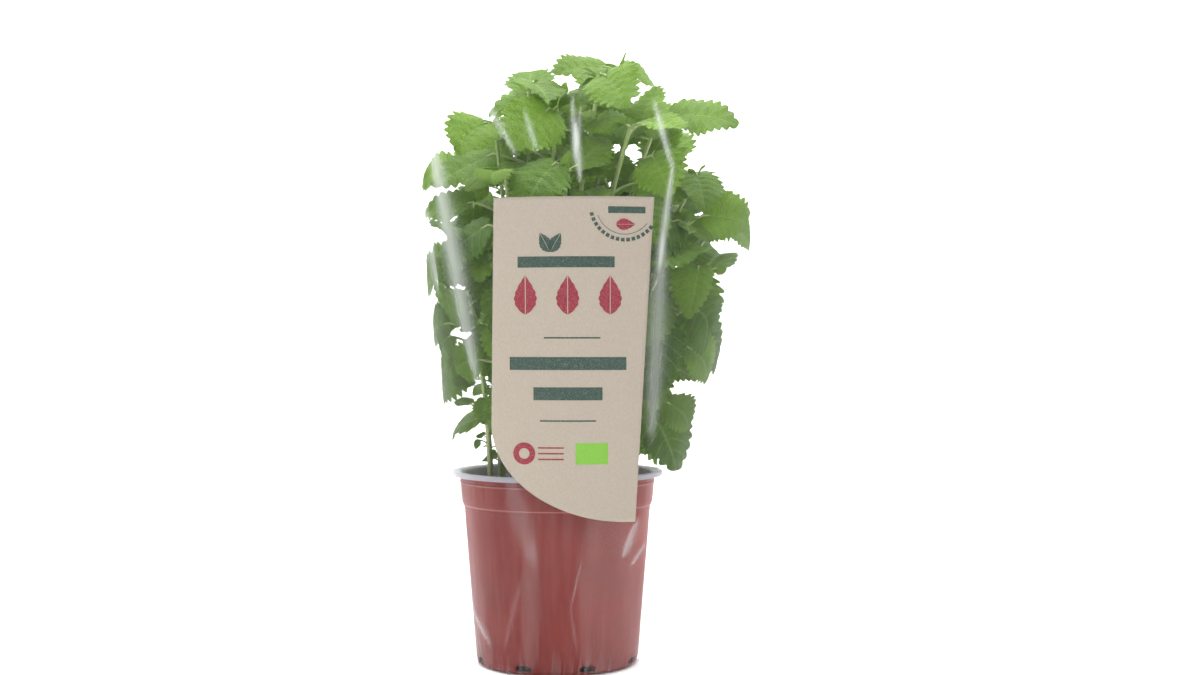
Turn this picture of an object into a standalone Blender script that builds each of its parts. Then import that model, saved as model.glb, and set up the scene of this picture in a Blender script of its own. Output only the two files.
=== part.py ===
"""A potted lemon balm in its clear retail sleeve, at real size, in metres with +Z up.

The origin is the centre of the pot's base, on the surface that the pot stands on. +X is to the right and -Y
is the front, where the paper label lies on the sleeve. The pot holds soil, the soil holds the roots of the
leafy stems in plain holes, and the sleeve is a cone that grips the foot of the pot and leans a little to +X.
"""

import math
import random

import bmesh
import bpy
from mathutils import Vector
from mathutils.bvhtree import BVHTree

# Pot: a thin thermoformed plastic one, 10.5 cm across its rim
POT_HEIGHT = 0.0955
POT_BASE_RADIUS = 0.0400
POT_BODY_TOP_RADIUS = 0.0478
POT_RIM_RADIUS = 0.0525
POT_RIM_DEPTH = 0.0024
POT_WALL = 0.0010
POT_COLLAR_DEPTH = 0.0165
POT_COLLAR_STEP = 0.0010
POT_BASE_BEVEL = 0.0030
POT_SIDES = 32

# Drainage slots through the pot's lower corner
SLOT_COUNT = 8
SLOT_WIDTH = 0.0085
SLOT_HEIGHT = 0.0030
SLOT_BOTTOM = 0.0017
SLOT_DEPTH = 0.0110

# Soil
GAP = 0.0003
SOIL_LEVEL = 0.0870
SOIL_CROWN = 0.0030
SOIL_ROUGHNESS = 0.0009
STEM_SUNK = 0.0120

# Sleeve: a flattened cone of clear film that leans to +X
FILM_FOOT_RADIUS = POT_BASE_RADIUS + 0.0004
FILM_FLARE_WIDE = 0.2267
FILM_FLARE_DEEP = 0.1500
FILM_LEAN = 0.0700
FILM_FOOT = 0.0006
FILM_TOP = 0.3250
FILM_THICKNESS = 0.0004
FILM_ROWS = 2

# Label: paper on the front of the sleeve, with a rounded lower left corner
LABEL_TOP = 0.2255
LABEL_BOTTOM = 0.0745
LABEL_TOP_LEFT = -0.0275
LABEL_TOP_RIGHT = 0.0460
LABEL_LOW_LEFT = -0.0305
LABEL_LOW_RIGHT = 0.0380
LABEL_CORNER = 0.0465
LABEL_CROWDING = 1.6
LABEL_THICKNESS = 0.0003
LABEL_EASE = 0.0004
LABEL_COLUMNS = 10
LABEL_ROWS = 3

# Stems: square in section, as in the mint family
STEM_COUNT = 27
STEM_SEGMENTS = 5
STEM_FREE = 0.0015
STEM_FOOT_WIDTH = 0.0024
STEM_TIP_WIDTH = 0.0014
STEM_CLUMP_RADIUS = 0.0350
STEM_SPREAD = 0.80
STEM_LOWEST_TIP = 0.208
STEM_HIGHEST_TIP = 0.298
STEM_LEFT_BONUS = 0.012
GOLDEN_ANGLE = math.radians(137.508)

# Leaves: opposite pairs, each pair turned a quarter from the one below, and the blades turned to light from the front
LEAF_PAIRS = 6
LEAF_LENGTH = 0.0350
LEAF_ASPECT = 0.96
LEAF_ROUNDNESS = 0.64
LEAF_TEETH = 5
LEAF_SMALL = 0.036
LEAF_TOOTH_DEPTH = 0.13
LEAF_RIB_THICKNESS = 0.0012
LEAF_LOBE = 0.10
LEAF_RIB_STEPS = (0.30, 0.66)
PITCH_MEAN = -0.30
PITCH_TO_LIGHT = 0.50
PITCH_SPREAD = 0.42
YOUNG_PITCH = 0.25
ROLL_TO_LIGHT = 0.80
ROLL_SPREAD = 0.35
PETIOLE_WIDTH = 0.0016
PETIOLE_LENGTH = 0.0160
CLEARANCE = 0.0012
TRIES = 40
SEED = 43

UP = Vector((0, 0, 1))
RIGHT = Vector((1, 0, 0))

# How leaves bend along the film: free up to this share of its half width, and never past the two together
FREE_SHARE = 0.84
GIVE_SHARE = 0.115


def film_centre(height):
    """Centre of the sleeve's section at this height."""
    return Vector((FILM_LEAN * height, 0, height))


def film_half_widths(height):
    """Half width along X and half depth along Y of the sleeve's section at this height."""
    return (
        FILM_FOOT_RADIUS + FILM_FLARE_WIDE * height,
        FILM_FOOT_RADIUS + FILM_FLARE_DEEP * height,
    )


def film_point(height, angle, share=1.0):
    """A point at this share of the way from the sleeve's centre line to its inner face."""
    wide, deep = film_half_widths(height)
    offset = Vector((wide * math.cos(angle), deep * math.sin(angle), 0))
    return film_centre(height) + share * offset


def hold_inside(point):
    """The same point, or the place that the film presses it to if it would reach the film."""
    wide, deep = film_half_widths(point.z)
    centre = film_centre(point.z)
    x, y = (point.x - centre.x) / wide, (point.y - centre.y) / deep
    share = math.hypot(x, y)
    if share <= FREE_SHARE:
        return point
    kept = FREE_SHARE + GIVE_SHARE * (1 - math.exp((FREE_SHARE - share) / GIVE_SHARE))
    scale = kept / share
    return Vector((centre.x + x * wide * scale, centre.y + y * deep * scale, point.z))


def stem_point(stem, t):
    """A point of a stem's centre line, t being 0 at its root's end and 1 at its tip."""
    sunk = SOIL_LEVEL - STEM_SUNK
    height = sunk + (stem["tip_height"] - sunk) * t
    rise = max(0.0, (height - stem["soil"]) / (stem["tip_height"] - stem["soil"]))
    foot = stem["foot"]
    if rise == 0:
        return Vector((foot.x, foot.y, height))
    spread = rise ** stem["bend"]
    tip = film_point(height, stem["angle"] + stem["twist"] * rise, stem["share"])
    return Vector((foot.x + (tip.x - foot.x) * spread, foot.y + (tip.y - foot.y) * spread, height))


def stem_shares(stem):
    """Where the stem's straight pieces meet: at its root's end, just above the soil, and evenly up to its tip."""
    sunk = SOIL_LEVEL - STEM_SUNK
    out = (stem["soil"] + STEM_FREE - sunk) / (stem["tip_height"] - sunk)
    return [0.0] + [out + (1 - out) * k / STEM_SEGMENTS for k in range(STEM_SEGMENTS + 1)]


def stem_station(stem, t):
    """A point of the straight pieces that the stem is modelled with."""
    shares = stem_shares(stem)
    k = max(k for k in range(len(shares) - 1) if shares[k] <= t)
    low, high = stem_point(stem, shares[k]), stem_point(stem, shares[k + 1])
    return low.lerp(high, (t - shares[k]) / (shares[k + 1] - shares[k]))


def stem_half_width(t):
    """Half of the square stem's width."""
    return 0.5 * (STEM_FOOT_WIDTH + (STEM_TIP_WIDTH - STEM_FOOT_WIDTH) * t)


def make_stem(index):
    """The place and lean of one stem, from the sunflower rule with a seeded draw."""
    rng = random.Random(SEED * 1000 + index)
    share = math.sqrt((index + 0.5) / STEM_COUNT)
    angle = index * GOLDEN_ANGLE + rng.uniform(-0.12, 0.12)
    foot = Vector((math.cos(angle), math.sin(angle), 0)) * STEM_CLUMP_RADIUS * share
    reach = 1 - share**2
    height = STEM_LOWEST_TIP + (STEM_HIGHEST_TIP - STEM_LOWEST_TIP) * reach
    height -= STEM_LEFT_BONUS * math.cos(angle) * share
    return {
        "index": index,
        "foot": foot,
        "angle": angle,
        "share": STEM_SPREAD * share,
        "twist": rng.uniform(-0.10, 0.10),
        "bend": rng.uniform(1.15, 1.45),
        "tip_height": height + rng.uniform(-0.012, 0.006),
        "soil": SOIL_LEVEL + SOIL_CROWN,
        "turn": rng.uniform(0, math.pi),
        "leaves": [],
    }


def leaf_draw(stem, pair, side, attempt):
    """One try at a leaf: its place on the stem, size and attitude, from a seeded draw."""
    rng = random.Random(f"{SEED}-{stem['index']}-{pair}-{side}-{attempt}")
    level = (pair + 0.5 * rng.random()) / LEAF_PAIRS if pair else 0.08 * rng.random()
    first = 0.42 if stem["index"] % 3 else 0.16
    t = first + (0.985 - first) * (level**0.85 if pair < LEAF_PAIRS - 1 else 1.0)
    eager = max(0.45, 1 - 0.012 * attempt)
    young = 0.92 if pair == LEAF_PAIRS - 1 else 1.0
    low = 0.80 if pair == 0 else 1.0
    length = LEAF_LENGTH * rng.uniform(0.78, 1.16) * young * low * eager
    azimuth = stem["turn"] + pair * math.pi / 2 + side * math.pi + rng.uniform(-0.45, 0.45)
    lift = rng.uniform(0.10, 0.85) if young == 1 else rng.uniform(0.3, 1.0)
    pitch = PITCH_MEAN + PITCH_TO_LIGHT * math.sin(azimuth) + (YOUNG_PITCH if young < 1 else 0.0)
    return {
        "root": stem_station(stem, t),
        "azimuth": azimuth,
        "lift": lift,
        "petiole": PETIOLE_LENGTH * rng.uniform(0.55, 1.35) * (0.5 if young < 1 else 1.0),
        "length": length,
        "width": length * LEAF_ASPECT * rng.uniform(0.90, 1.08),
        "pitch": pitch + rng.uniform(-PITCH_SPREAD, PITCH_SPREAD),
        "droop": rng.uniform(0.15, 0.70),
        "roll": ROLL_TO_LIGHT * math.cos(azimuth) + rng.uniform(-ROLL_SPREAD, ROLL_SPREAD),
        "fold": rng.uniform(0.02, 0.26),
        "teeth": LEAF_TEETH if length > LEAF_SMALL else LEAF_TEETH - 1,
        "seed": rng.random(),
    }


def leaf_axes(leaf):
    """Heading away from the stem, and the level direction across it."""
    heading = Vector((math.cos(leaf["azimuth"]), math.sin(leaf["azimuth"]), 0))
    return heading, Vector((-heading.y, heading.x, 0))


def petiole_point(leaf, t):
    """A point of the leaf stalk's centre line, t being 0 on the stem and 1 at the blade."""
    heading, _ = leaf_axes(leaf)
    pitch = leaf["lift"] * (1 - 0.35 * t)
    step = Vector((heading.x * math.cos(pitch), heading.y * math.cos(pitch), math.sin(pitch)))
    return hold_inside(leaf["root"] + step * leaf["petiole"] * t)


def blade_outline(along, teeth):
    """The blade's half width at a share of its length, as a share of the greatest one, teeth included."""
    smooth = math.sin(math.pi * along**0.70)
    notch = 1 - abs(math.sin(math.pi * teeth * along)) ** 0.7
    return max(0.0, smooth) ** LEAF_ROUNDNESS * (1 - LEAF_TOOTH_DEPTH * notch)


def blade_place(leaf, along, across, half, relief=0.0):
    """A point of a blade this wide: along is 0 at the stalk and 1 at the tip, across is -1 to 1."""
    heading, level = leaf_axes(leaf)
    base = petiole_point(leaf, 1)
    lobe = LEAF_LOBE * across * across * (1 - along) ** 6 * (1 if along > 0 else 0)
    s = along - lobe
    pitch, droop = leaf["pitch"], leaf["droop"]
    out = (math.sin(pitch) - math.sin(pitch - droop * s)) / droop
    up = (math.cos(pitch - droop * s) - math.cos(pitch)) / droop
    point = base + (heading * out + UP * up) * leaf["length"]
    here = pitch - droop * s
    normal = UP * math.cos(here) - heading * math.sin(here)
    tilted = level * math.cos(leaf["roll"]) + normal * math.sin(leaf["roll"])
    risen = normal * math.cos(leaf["roll"]) - level * math.sin(leaf["roll"])
    wave = 0.10 * math.sin(9 * along + 6.3 * leaf["seed"]) * across * across
    lifted = leaf["fold"] * abs(across) + wave - 0.10 * across * across
    return hold_inside(point + tilted * half * across + risen * (half * lifted + relief))


def blade_point(leaf, along, across, teeth):
    """A point of the middle surface of the blade with this many teeth on each side."""
    return blade_place(leaf, along, across, 0.5 * leaf["width"] * blade_outline(along, teeth))


def zip_rows(inner, outer):
    """Triangles between two rows of (vertex, share of the length), walked together by that share."""
    triangles = []
    i = j = 0
    while i < len(inner) - 1 or j < len(outer) - 1:
        step_inner = i < len(inner) - 1 and (
            j == len(outer) - 1 or inner[i + 1][1] <= outer[j + 1][1]
        )
        a, b = inner[i][0], outer[j][0]
        c = inner[i + 1][0] if step_inner else outer[j + 1][0]
        if len({a, b, c}) == 3:
            triangles.append((a, b, c))
        i, j = (i + 1, j) if step_inner else (i, j + 1)
    return triangles


def ring_around(centre, tangent, guide, half_diagonal):
    """Four corners of a square section across the tangent, the first being the one towards the guide."""
    across = tangent.cross(guide).normalized() * half_diagonal
    towards = across.cross(tangent)
    return [centre + towards, centre + across, centre - towards, centre - across]


def leaf_surface(leaf):
    """The blade's middle surface: points, triangles, and the vertices of its left and right edges."""
    teeth = leaf["teeth"]
    steps = (0.0,) + LEAF_RIB_STEPS + (1.0,)
    points = [blade_point(leaf, s, 0, teeth) for s in steps]
    rib = [(k, s) for k, s in enumerate(steps)]
    tip = rib[-1]
    edges, triangles = [], []
    for sign in (-1, 1):
        edge = []
        for k in range(2 * teeth):
            along = k / (2 * teeth)
            if k:
                points.append(blade_point(leaf, along, sign, teeth))
            else:
                _, level = leaf_axes(leaf)
                points.append(points[0] + level * sign * 0.5 * PETIOLE_WIDTH)
            edge.append((len(points) - 1, along))
        edges.append([vertex for vertex, _ in edge])
        strip = zip_rows(rib, edge + [tip])
        triangles += strip if sign < 0 else [(c, b, a) for a, b, c in strip]
    return points, triangles, edges


def surface_normals(points, triangles):
    """A unit normal at each point, from the triangles around it."""
    normals = [Vector() for _ in points]
    for triangle in triangles:
        a, b, c = (points[k] for k in triangle)
        face = (b - a).cross(c - a)
        for k in triangle:
            normals[k] += face
    return [normal.normalized() for normal in normals]


def leaf_solid(leaf, more=0.0, from_stem=True):
    """(points, faces) of a leaf and its stalk as one closed solid, `more` being added to its thickness."""
    surface, triangles, edges = leaf_surface(leaf)
    normals = surface_normals(surface, triangles)
    rib_count = len(LEAF_RIB_STEPS) + 2
    thickness = 0.5 * (LEAF_RIB_THICKNESS + more)
    points = list(surface)
    upper, lower = {}, {}
    for k, point in enumerate(surface):
        inner = k < rib_count - 1
        upper[k] = lower[k] = k
        if inner or more:
            points[k] = point + normals[k] * thickness
            points.append(point - normals[k] * thickness)
            lower[k] = len(points) - 1
    faces = [tuple(upper[k] for k in face) for face in triangles]
    faces += [tuple(lower[k] for k in reversed(face)) for face in triangles]
    left, right = edges
    if more:
        border = [0] + left + [rib_count - 1] + right[::-1]
        for a, b in zip(border, border[1:] + border[:1]):
            if a and b:
                faces.append((upper[a], lower[a], lower[b], upper[b]))
    section = [upper[0], right[0], lower[0], left[0]]
    half = 0.5 * (PETIOLE_WIDTH + more)
    start = petiole_point(leaf, 0)
    direction = (petiole_point(leaf, 1) - start).normalized()
    first = len(points)
    points += ring_around(petiole_point(leaf, 0 if from_stem else 0.2), direction, UP, half)
    ring = [first, first + 3, first + 2, first + 1]
    for k in range(4):
        after = (k + 1) % 4
        faces.append((section[k], section[after], ring[after], ring[k]))
    faces.append(tuple(ring))
    return points, faces


def stem_solid(stem, more=0.0):
    """(points, faces) of a square stem, `more` being added to its width."""
    points, faces, last = [], [], None
    for k, t in enumerate(stem_shares(stem)):
        below, above = stem_point(stem, max(0, t - 0.01)), stem_point(stem, min(1, t + 0.01))
        first = len(points)
        half_diagonal = math.sqrt(2) * (stem_half_width(t) + 0.5 * more)
        tangent = (above - below).normalized() if k > 1 else UP
        points += ring_around(stem_point(stem, t), tangent, RIGHT, half_diagonal)
        ring = [first, first + 1, first + 2, first + 3]
        if last:
            for j in range(4):
                after = (j + 1) % 4
                faces.append((last[j], last[after], ring[after], ring[j]))
        else:
            faces.append(tuple(reversed(ring)))
        last = ring
    faces.append(tuple(last))
    return points, faces


def tree_of(points, faces):
    """A search tree with the bounding ball of a mesh."""
    centre = sum(points, Vector()) / len(points)
    radius = max((point - centre).length for point in points)
    return BVHTree.FromPolygons(points, faces), centre, radius


def crosses(tree, others):
    """True if a mesh crosses one of the others."""
    found, centre, radius = tree
    for other, other_centre, other_radius in others:
        near = (other_centre - centre).length < radius + other_radius
        if near and found.overlap(other):
            return True
    return False


def clear_of_pot(leaf_points):
    """True if no point is in or under the pot's rim, or in the soil."""
    for point in leaf_points:
        r = math.hypot(point.x, point.y)
        if r < POT_RIM_RADIUS + 0.001 and point.z < POT_HEIGHT + 0.0015:
            return False
        if point.z < 0.075:
            return False
    return True


def plan_plant():
    """All stems, each with the leaves that found a place clear of every other leaf and stem."""
    stems = [make_stem(index) for index in range(STEM_COUNT)]
    stem_trees = [tree_of(*stem_solid(stem, CLEARANCE)) for stem in stems]
    leaf_trees = []
    for pair in reversed(range(LEAF_PAIRS)):
        for stem in stems:
            others = stem_trees[: stem["index"]] + stem_trees[stem["index"] + 1 :]
            for side in (0, 1):
                for attempt in range(TRIES):
                    leaf = leaf_draw(stem, pair, side, attempt)
                    points, faces = leaf_solid(leaf, CLEARANCE, from_stem=False)
                    if not clear_of_pot(points):
                        continue
                    tree = tree_of(points, faces)
                    if crosses(tree, leaf_trees) or crosses(tree, others):
                        continue
                    stem["leaves"].append(leaf)
                    leaf_trees.append(tree_of(*leaf_solid(leaf, from_stem=False)))
                    break
    return stems


def material(name, colour, roughness, metallic=0.0, alpha=1.0):
    """A plain Principled material."""
    made = bpy.data.materials.new(name)
    made.use_nodes = True
    shader = made.node_tree.nodes["Principled BSDF"]
    shader.inputs["Base Color"].default_value = (*colour, 1)
    shader.inputs["Roughness"].default_value = roughness
    shader.inputs["Metallic"].default_value = metallic
    shader.inputs["Alpha"].default_value = alpha
    made.diffuse_color = (*colour, alpha)
    return made


def add_object(name, mesh, look, collection):
    """Links a mesh as an object with one material."""
    made = bpy.data.objects.new(name, mesh)
    if look:
        mesh.materials.clear()
        mesh.materials.append(look)
    collection.objects.link(made)
    return made


def mesh_from(name, points, faces):
    """A mesh from points and faces, with its normals made to face out."""
    mesh = bpy.data.meshes.new(name)
    mesh.from_pydata([tuple(point) for point in points], [], faces)
    work = bmesh.new()
    work.from_mesh(mesh)
    bmesh.ops.recalc_face_normals(work, faces=work.faces)
    work.to_mesh(mesh)
    work.free()
    return mesh


def turned(name, profile, sides, look, collection):
    """A solid of revolution about Z: the profile is (radius, height) pairs that end on the axis."""
    mesh = bpy.data.meshes.new(name)
    edges = [(k, k + 1) for k in range(len(profile) - 1)]
    mesh.from_pydata([(r, 0, z) for r, z in profile], edges, [])
    made = add_object(name, mesh, look, collection)
    screw = made.modifiers.new("turn", "SCREW")
    screw.steps = screw.render_steps = sides
    screw.use_merge_vertices = True
    screw.merge_threshold = 0.0001
    return made


def apply_modifiers(made):
    """Replaces the object's mesh by what its modifiers make of it."""
    graph = bpy.context.evaluated_depsgraph_get()
    mesh = bpy.data.meshes.new_from_object(made.evaluated_get(graph))
    made.modifiers.clear()
    made.data = mesh
    return made


def boolean(made, operation, collection, solver="EXACT"):
    """Joins or cuts with every object of a collection, applies it, and removes that collection."""
    step = made.modifiers.new(operation.lower(), "BOOLEAN")
    step.operation = operation
    step.operand_type = "COLLECTION"
    step.collection = collection
    step.solver = solver
    bpy.context.view_layer.update()
    apply_modifiers(made)
    for used in list(collection.objects):
        bpy.data.objects.remove(used)
    bpy.data.collections.remove(collection)
    return made


def new_collection(name):
    """A collection in the scene."""
    made = bpy.data.collections.new(name)
    bpy.context.scene.collection.children.link(made)
    return made


def add_box(name, size, centre, turn, collection):
    """A box cutter, turned about Z."""
    mesh = bpy.data.meshes.new(name)
    work = bmesh.new()
    bmesh.ops.create_cube(work, size=1)
    bmesh.ops.scale(work, vec=size, verts=work.verts)
    work.to_mesh(mesh)
    work.free()
    made = add_object(name, mesh, None, collection)
    made.location = centre
    made.rotation_euler.z = turn
    made.hide_render = True
    made.display_type = "WIRE"
    return made


def pot_wall_radius(height):
    """Outer radius of the pot's body."""
    taper = (POT_BODY_TOP_RADIUS - POT_BASE_RADIUS) / POT_HEIGHT
    return POT_BASE_RADIUS + taper * height


def make_pot(look, collection):
    """The thin pot: a bevelled foot, a tapered body, a collar step and a rolled flange."""
    collar = POT_HEIGHT - POT_COLLAR_DEPTH
    under_rim = POT_HEIGHT - POT_RIM_DEPTH
    body_low, body_high = pot_wall_radius(POT_BASE_BEVEL), pot_wall_radius(collar)
    top = POT_BODY_TOP_RADIUS + POT_COLLAR_STEP
    profile = [
        (0, POT_WALL),
        (POT_BASE_RADIUS - POT_BASE_BEVEL - POT_WALL / 2, POT_WALL),
        (body_low - POT_WALL, POT_BASE_BEVEL + POT_WALL / 2),
        (body_high - POT_WALL, collar + POT_WALL / 2),
        (body_high + POT_COLLAR_STEP - POT_WALL, collar + 2 * POT_WALL),
        (top - POT_WALL, POT_HEIGHT),
        (POT_RIM_RADIUS, POT_HEIGHT),
        (POT_RIM_RADIUS, under_rim),
        (POT_RIM_RADIUS - POT_WALL, under_rim),
        (POT_RIM_RADIUS - POT_WALL, POT_HEIGHT - POT_WALL),
        (top, POT_HEIGHT - POT_WALL),
        (body_high + POT_COLLAR_STEP, collar + POT_WALL),
        (body_high, collar),
        (body_low, POT_BASE_BEVEL),
        (POT_BASE_RADIUS - POT_BASE_BEVEL, 0),
        (0, 0),
    ]
    pot = turned("pot", profile, POT_SIDES, look, collection)
    cutters = new_collection("slot_cutters")
    for k in range(SLOT_COUNT):
        angle = (k + 0.5) * 2 * math.pi / SLOT_COUNT
        centre = Vector((math.cos(angle), math.sin(angle), 0)) * POT_BASE_RADIUS
        centre.z = SLOT_BOTTOM + SLOT_HEIGHT / 2
        add_box(f"slot_{k}", (SLOT_DEPTH, SLOT_WIDTH, SLOT_HEIGHT), centre, angle, cutters)
    apply_modifiers(pot)
    return boolean(pot, "DIFFERENCE", cutters)


def make_soil(stems, look, collection):
    """The soil: it fills the pot to its level, has a low crown, and a plain square hole for each stem."""
    inner = POT_WALL + GAP
    floor = POT_WALL + GAP
    collar = POT_HEIGHT - POT_COLLAR_DEPTH
    rings = 3
    profile = []
    rim = pot_wall_radius(collar) + POT_COLLAR_STEP - inner
    for k in range(rings):
        share = k / rings
        profile.append((rim * share, SOIL_LEVEL + SOIL_CROWN * (1 - share**2)))
    profile += [
        (rim, SOIL_LEVEL),
        (rim, collar + 2 * POT_WALL + GAP),
        (pot_wall_radius(collar) - inner, collar),
        (pot_wall_radius(POT_BASE_BEVEL) - inner - GAP, POT_BASE_BEVEL + 2 * GAP),
        (POT_BASE_RADIUS - POT_BASE_BEVEL - inner - GAP, floor),
        (0, floor),
    ]
    soil = turned("soil", profile, POT_SIDES, look, collection)
    apply_modifiers(soil)
    for vertex in soil.data.vertices:
        if vertex.co.z > SOIL_LEVEL + 0.0001:
            x, y = vertex.co.x * 310, vertex.co.y * 270
            vertex.co.z += SOIL_ROUGHNESS * math.sin(x + 1.3) * math.cos(y - 0.4)
    cutters = new_collection("hole_cutters")
    width = STEM_FOOT_WIDTH + 2 * GAP
    for stem in stems:
        bottom = SOIL_LEVEL - STEM_SUNK - GAP
        top = SOIL_LEVEL + SOIL_CROWN + 3 * SOIL_ROUGHNESS
        centre = Vector((stem["foot"].x, stem["foot"].y, (top + bottom) / 2))
        add_box(f"hole_{stem['index']}", (width, width, top - bottom), centre, math.pi / 4, cutters)
    return boolean(soil, "DIFFERENCE", cutters)


def make_stem_node(stem, look, collection):
    """One leafy stem: a square stem with its leaves joined to it."""
    name = f"leafy_stem_{stem['index'] + 1:02d}"
    made = add_object(name, mesh_from(name, *stem_solid(stem)), look, collection)
    leaves = new_collection(f"leaves_{stem['index']}")
    for k, leaf in enumerate(stem["leaves"]):
        add_object(f"leaf_{k}", mesh_from(f"leaf_{k}", *leaf_solid(leaf)), look, leaves)
    return boolean(made, "UNION", leaves, solver="MANIFOLD")


def make_sleeve(look, collection):
    """The film: a loft from a round foot to a wide flattened top, thickened outwards."""
    points, faces = [], []
    for row in range(FILM_ROWS + 1):
        height = FILM_FOOT + (FILM_TOP - FILM_FOOT) * row / FILM_ROWS
        for k in range(POT_SIDES):
            points.append(film_point(height, 2 * math.pi * k / POT_SIDES))
    for row in range(FILM_ROWS):
        for k in range(POT_SIDES):
            after = (k + 1) % POT_SIDES
            low, high = row * POT_SIDES, (row + 1) * POT_SIDES
            faces.append((low + k, low + after, high + after, high + k))
    sleeve = add_object("sleeve", mesh_from("sleeve", points, faces), look, collection)
    shell = sleeve.modifiers.new("film", "SOLIDIFY")
    shell.thickness = FILM_THICKNESS
    shell.offset = 1
    return sleeve


def label_place(across, up):
    """X and height of the label's point at these shares of its width and of its height there."""
    foot = LABEL_BOTTOM + LABEL_CORNER * (1 - math.sqrt(1 - (1 - across) ** 2))
    height = foot + (LABEL_TOP - foot) * up
    share = (height - LABEL_BOTTOM) / (LABEL_TOP - LABEL_BOTTOM)
    left = LABEL_LOW_LEFT + (LABEL_TOP_LEFT - LABEL_LOW_LEFT) * share
    right = LABEL_LOW_RIGHT + (LABEL_TOP_RIGHT - LABEL_LOW_RIGHT) * share
    return left + (right - left) * across, height


def make_label(look, collection):
    """The paper label, which follows the front of the sleeve just clear of it."""
    points, faces = [], []
    stand_off = FILM_THICKNESS + GAP + LABEL_EASE
    for row in range(LABEL_ROWS + 1):
        for column in range(LABEL_COLUMNS + 1):
            x, height = label_place((column / LABEL_COLUMNS) ** LABEL_CROWDING, row / LABEL_ROWS)
            wide, deep = film_half_widths(height)
            across = (x - film_centre(height).x) / (wide + stand_off)
            y = -(deep + stand_off) * math.sqrt(1 - across * across)
            points.append(Vector((x, y, height)))
    stride = LABEL_COLUMNS + 1
    for row in range(LABEL_ROWS):
        for column in range(LABEL_COLUMNS):
            corner = row * stride + column
            faces.append((corner, corner + 1, corner + stride + 1, corner + stride))
    mesh = bpy.data.meshes.new("label")
    mesh.from_pydata([tuple(point) for point in points], [], faces)
    label = add_object("label", mesh, look, collection)
    paper = label.modifiers.new("paper", "SOLIDIFY")
    paper.thickness = LABEL_THICKNESS
    paper.offset = 1
    return label


def main():
    """Clears the scene and builds the plant, its pot and its sleeve."""
    for old in list(bpy.data.objects):
        bpy.data.objects.remove(old)
    plastic = material("terracotta_plastic", (0.42, 0.14, 0.10), 0.45)
    earth = material("soil", (0.030, 0.022, 0.016), 0.95)
    green = material("leaf_green", (0.10, 0.27, 0.035), 0.55)
    film = material("clear_film", (0.95, 0.97, 1.0), 0.10, alpha=0.2)
    paper = material("label_paper", (0.50, 0.45, 0.38), 0.80)
    plant = new_collection("potted_lemon_balm")
    stems = plan_plant()
    make_pot(plastic, plant)
    make_soil(stems, earth, plant)
    for stem in stems:
        make_stem_node(stem, green, plant)
    make_sleeve(film, plant)
    make_label(paper, plant)


main()
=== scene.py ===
"""Looks of a potted lemon balm in a clear film sleeve: leaves, stems, soil, pot, film and label."""

import math
import random

import bmesh
import bpy
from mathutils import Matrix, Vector, noise
from mathutils.bvhtree import BVHTree

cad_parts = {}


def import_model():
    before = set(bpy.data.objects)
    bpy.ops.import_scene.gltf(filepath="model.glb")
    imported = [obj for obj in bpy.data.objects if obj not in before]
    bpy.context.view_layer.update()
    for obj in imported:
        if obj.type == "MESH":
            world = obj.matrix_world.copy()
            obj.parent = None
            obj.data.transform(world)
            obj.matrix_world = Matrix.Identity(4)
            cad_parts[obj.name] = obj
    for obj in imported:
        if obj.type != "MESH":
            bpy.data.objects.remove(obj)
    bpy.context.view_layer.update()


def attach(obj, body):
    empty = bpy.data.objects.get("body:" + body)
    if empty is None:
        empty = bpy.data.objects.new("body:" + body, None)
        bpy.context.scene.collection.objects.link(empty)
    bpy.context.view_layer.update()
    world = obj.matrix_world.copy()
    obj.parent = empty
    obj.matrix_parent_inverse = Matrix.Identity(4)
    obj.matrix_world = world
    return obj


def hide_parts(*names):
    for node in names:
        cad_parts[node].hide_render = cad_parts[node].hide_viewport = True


# Camera: level, as the photograph's
CAMERA_PLACE = (0.0213, -0.800, 0.1615)
CAMERA_LENS = 48.0
CAMERA_SENSOR = 36.0
CAMERA_NEAR = 0.01

# Pot: a thin thermoformed plastic one, 10.5 cm across its rim
POT_HEIGHT = 0.0955
POT_BASE_RADIUS = 0.0400
POT_BODY_TOP_RADIUS = 0.0478
POT_RIM_RADIUS = 0.0525
POT_RIM_DEPTH = 0.0024
POT_WALL = 0.0010
POT_COLLAR_DEPTH = 0.0165
POT_COLLAR_STEP = 0.0010
POT_BASE_BEVEL = 0.0030

# Drainage slots through the pot's lower corner
SLOT_COUNT = 8
SLOT_WIDTH = 0.0085
SLOT_HEIGHT = 0.0030
SLOT_BOTTOM = 0.0017
SLOT_DEPTH = 0.0110
SLOT_SIDES = 16
SLOT_END_ROUNDNESS = 0.5
SLOT_EDGE_ROUNDNESS = 0.7

# Soil
GAP = 0.0003
SOIL_LEVEL = 0.0870
SOIL_CROWN = 0.0030
STEM_SUNK = 0.0120

# Sleeve: a flattened cone of clear film that leans to +X
FILM_FOOT_RADIUS = POT_BASE_RADIUS + 0.0004
FILM_FLARE_WIDE = 0.2267
FILM_FLARE_DEEP = 0.1500
FILM_LEAN = 0.0700
FILM_FOOT = 0.0006
FILM_TOP = 0.3250
FILM_THICKNESS = 0.0004

# Label: paper on the front of the sleeve, with a rounded lower left corner
LABEL_TOP = 0.2255
LABEL_BOTTOM = 0.0745
LABEL_TOP_LEFT = -0.0275
LABEL_TOP_RIGHT = 0.0460
LABEL_LOW_LEFT = -0.0305
LABEL_LOW_RIGHT = 0.0380
LABEL_CORNER = 0.0465
LABEL_CROWDING = 1.6
LABEL_THICKNESS = 0.0003
LABEL_EASE = 0.0004

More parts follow.
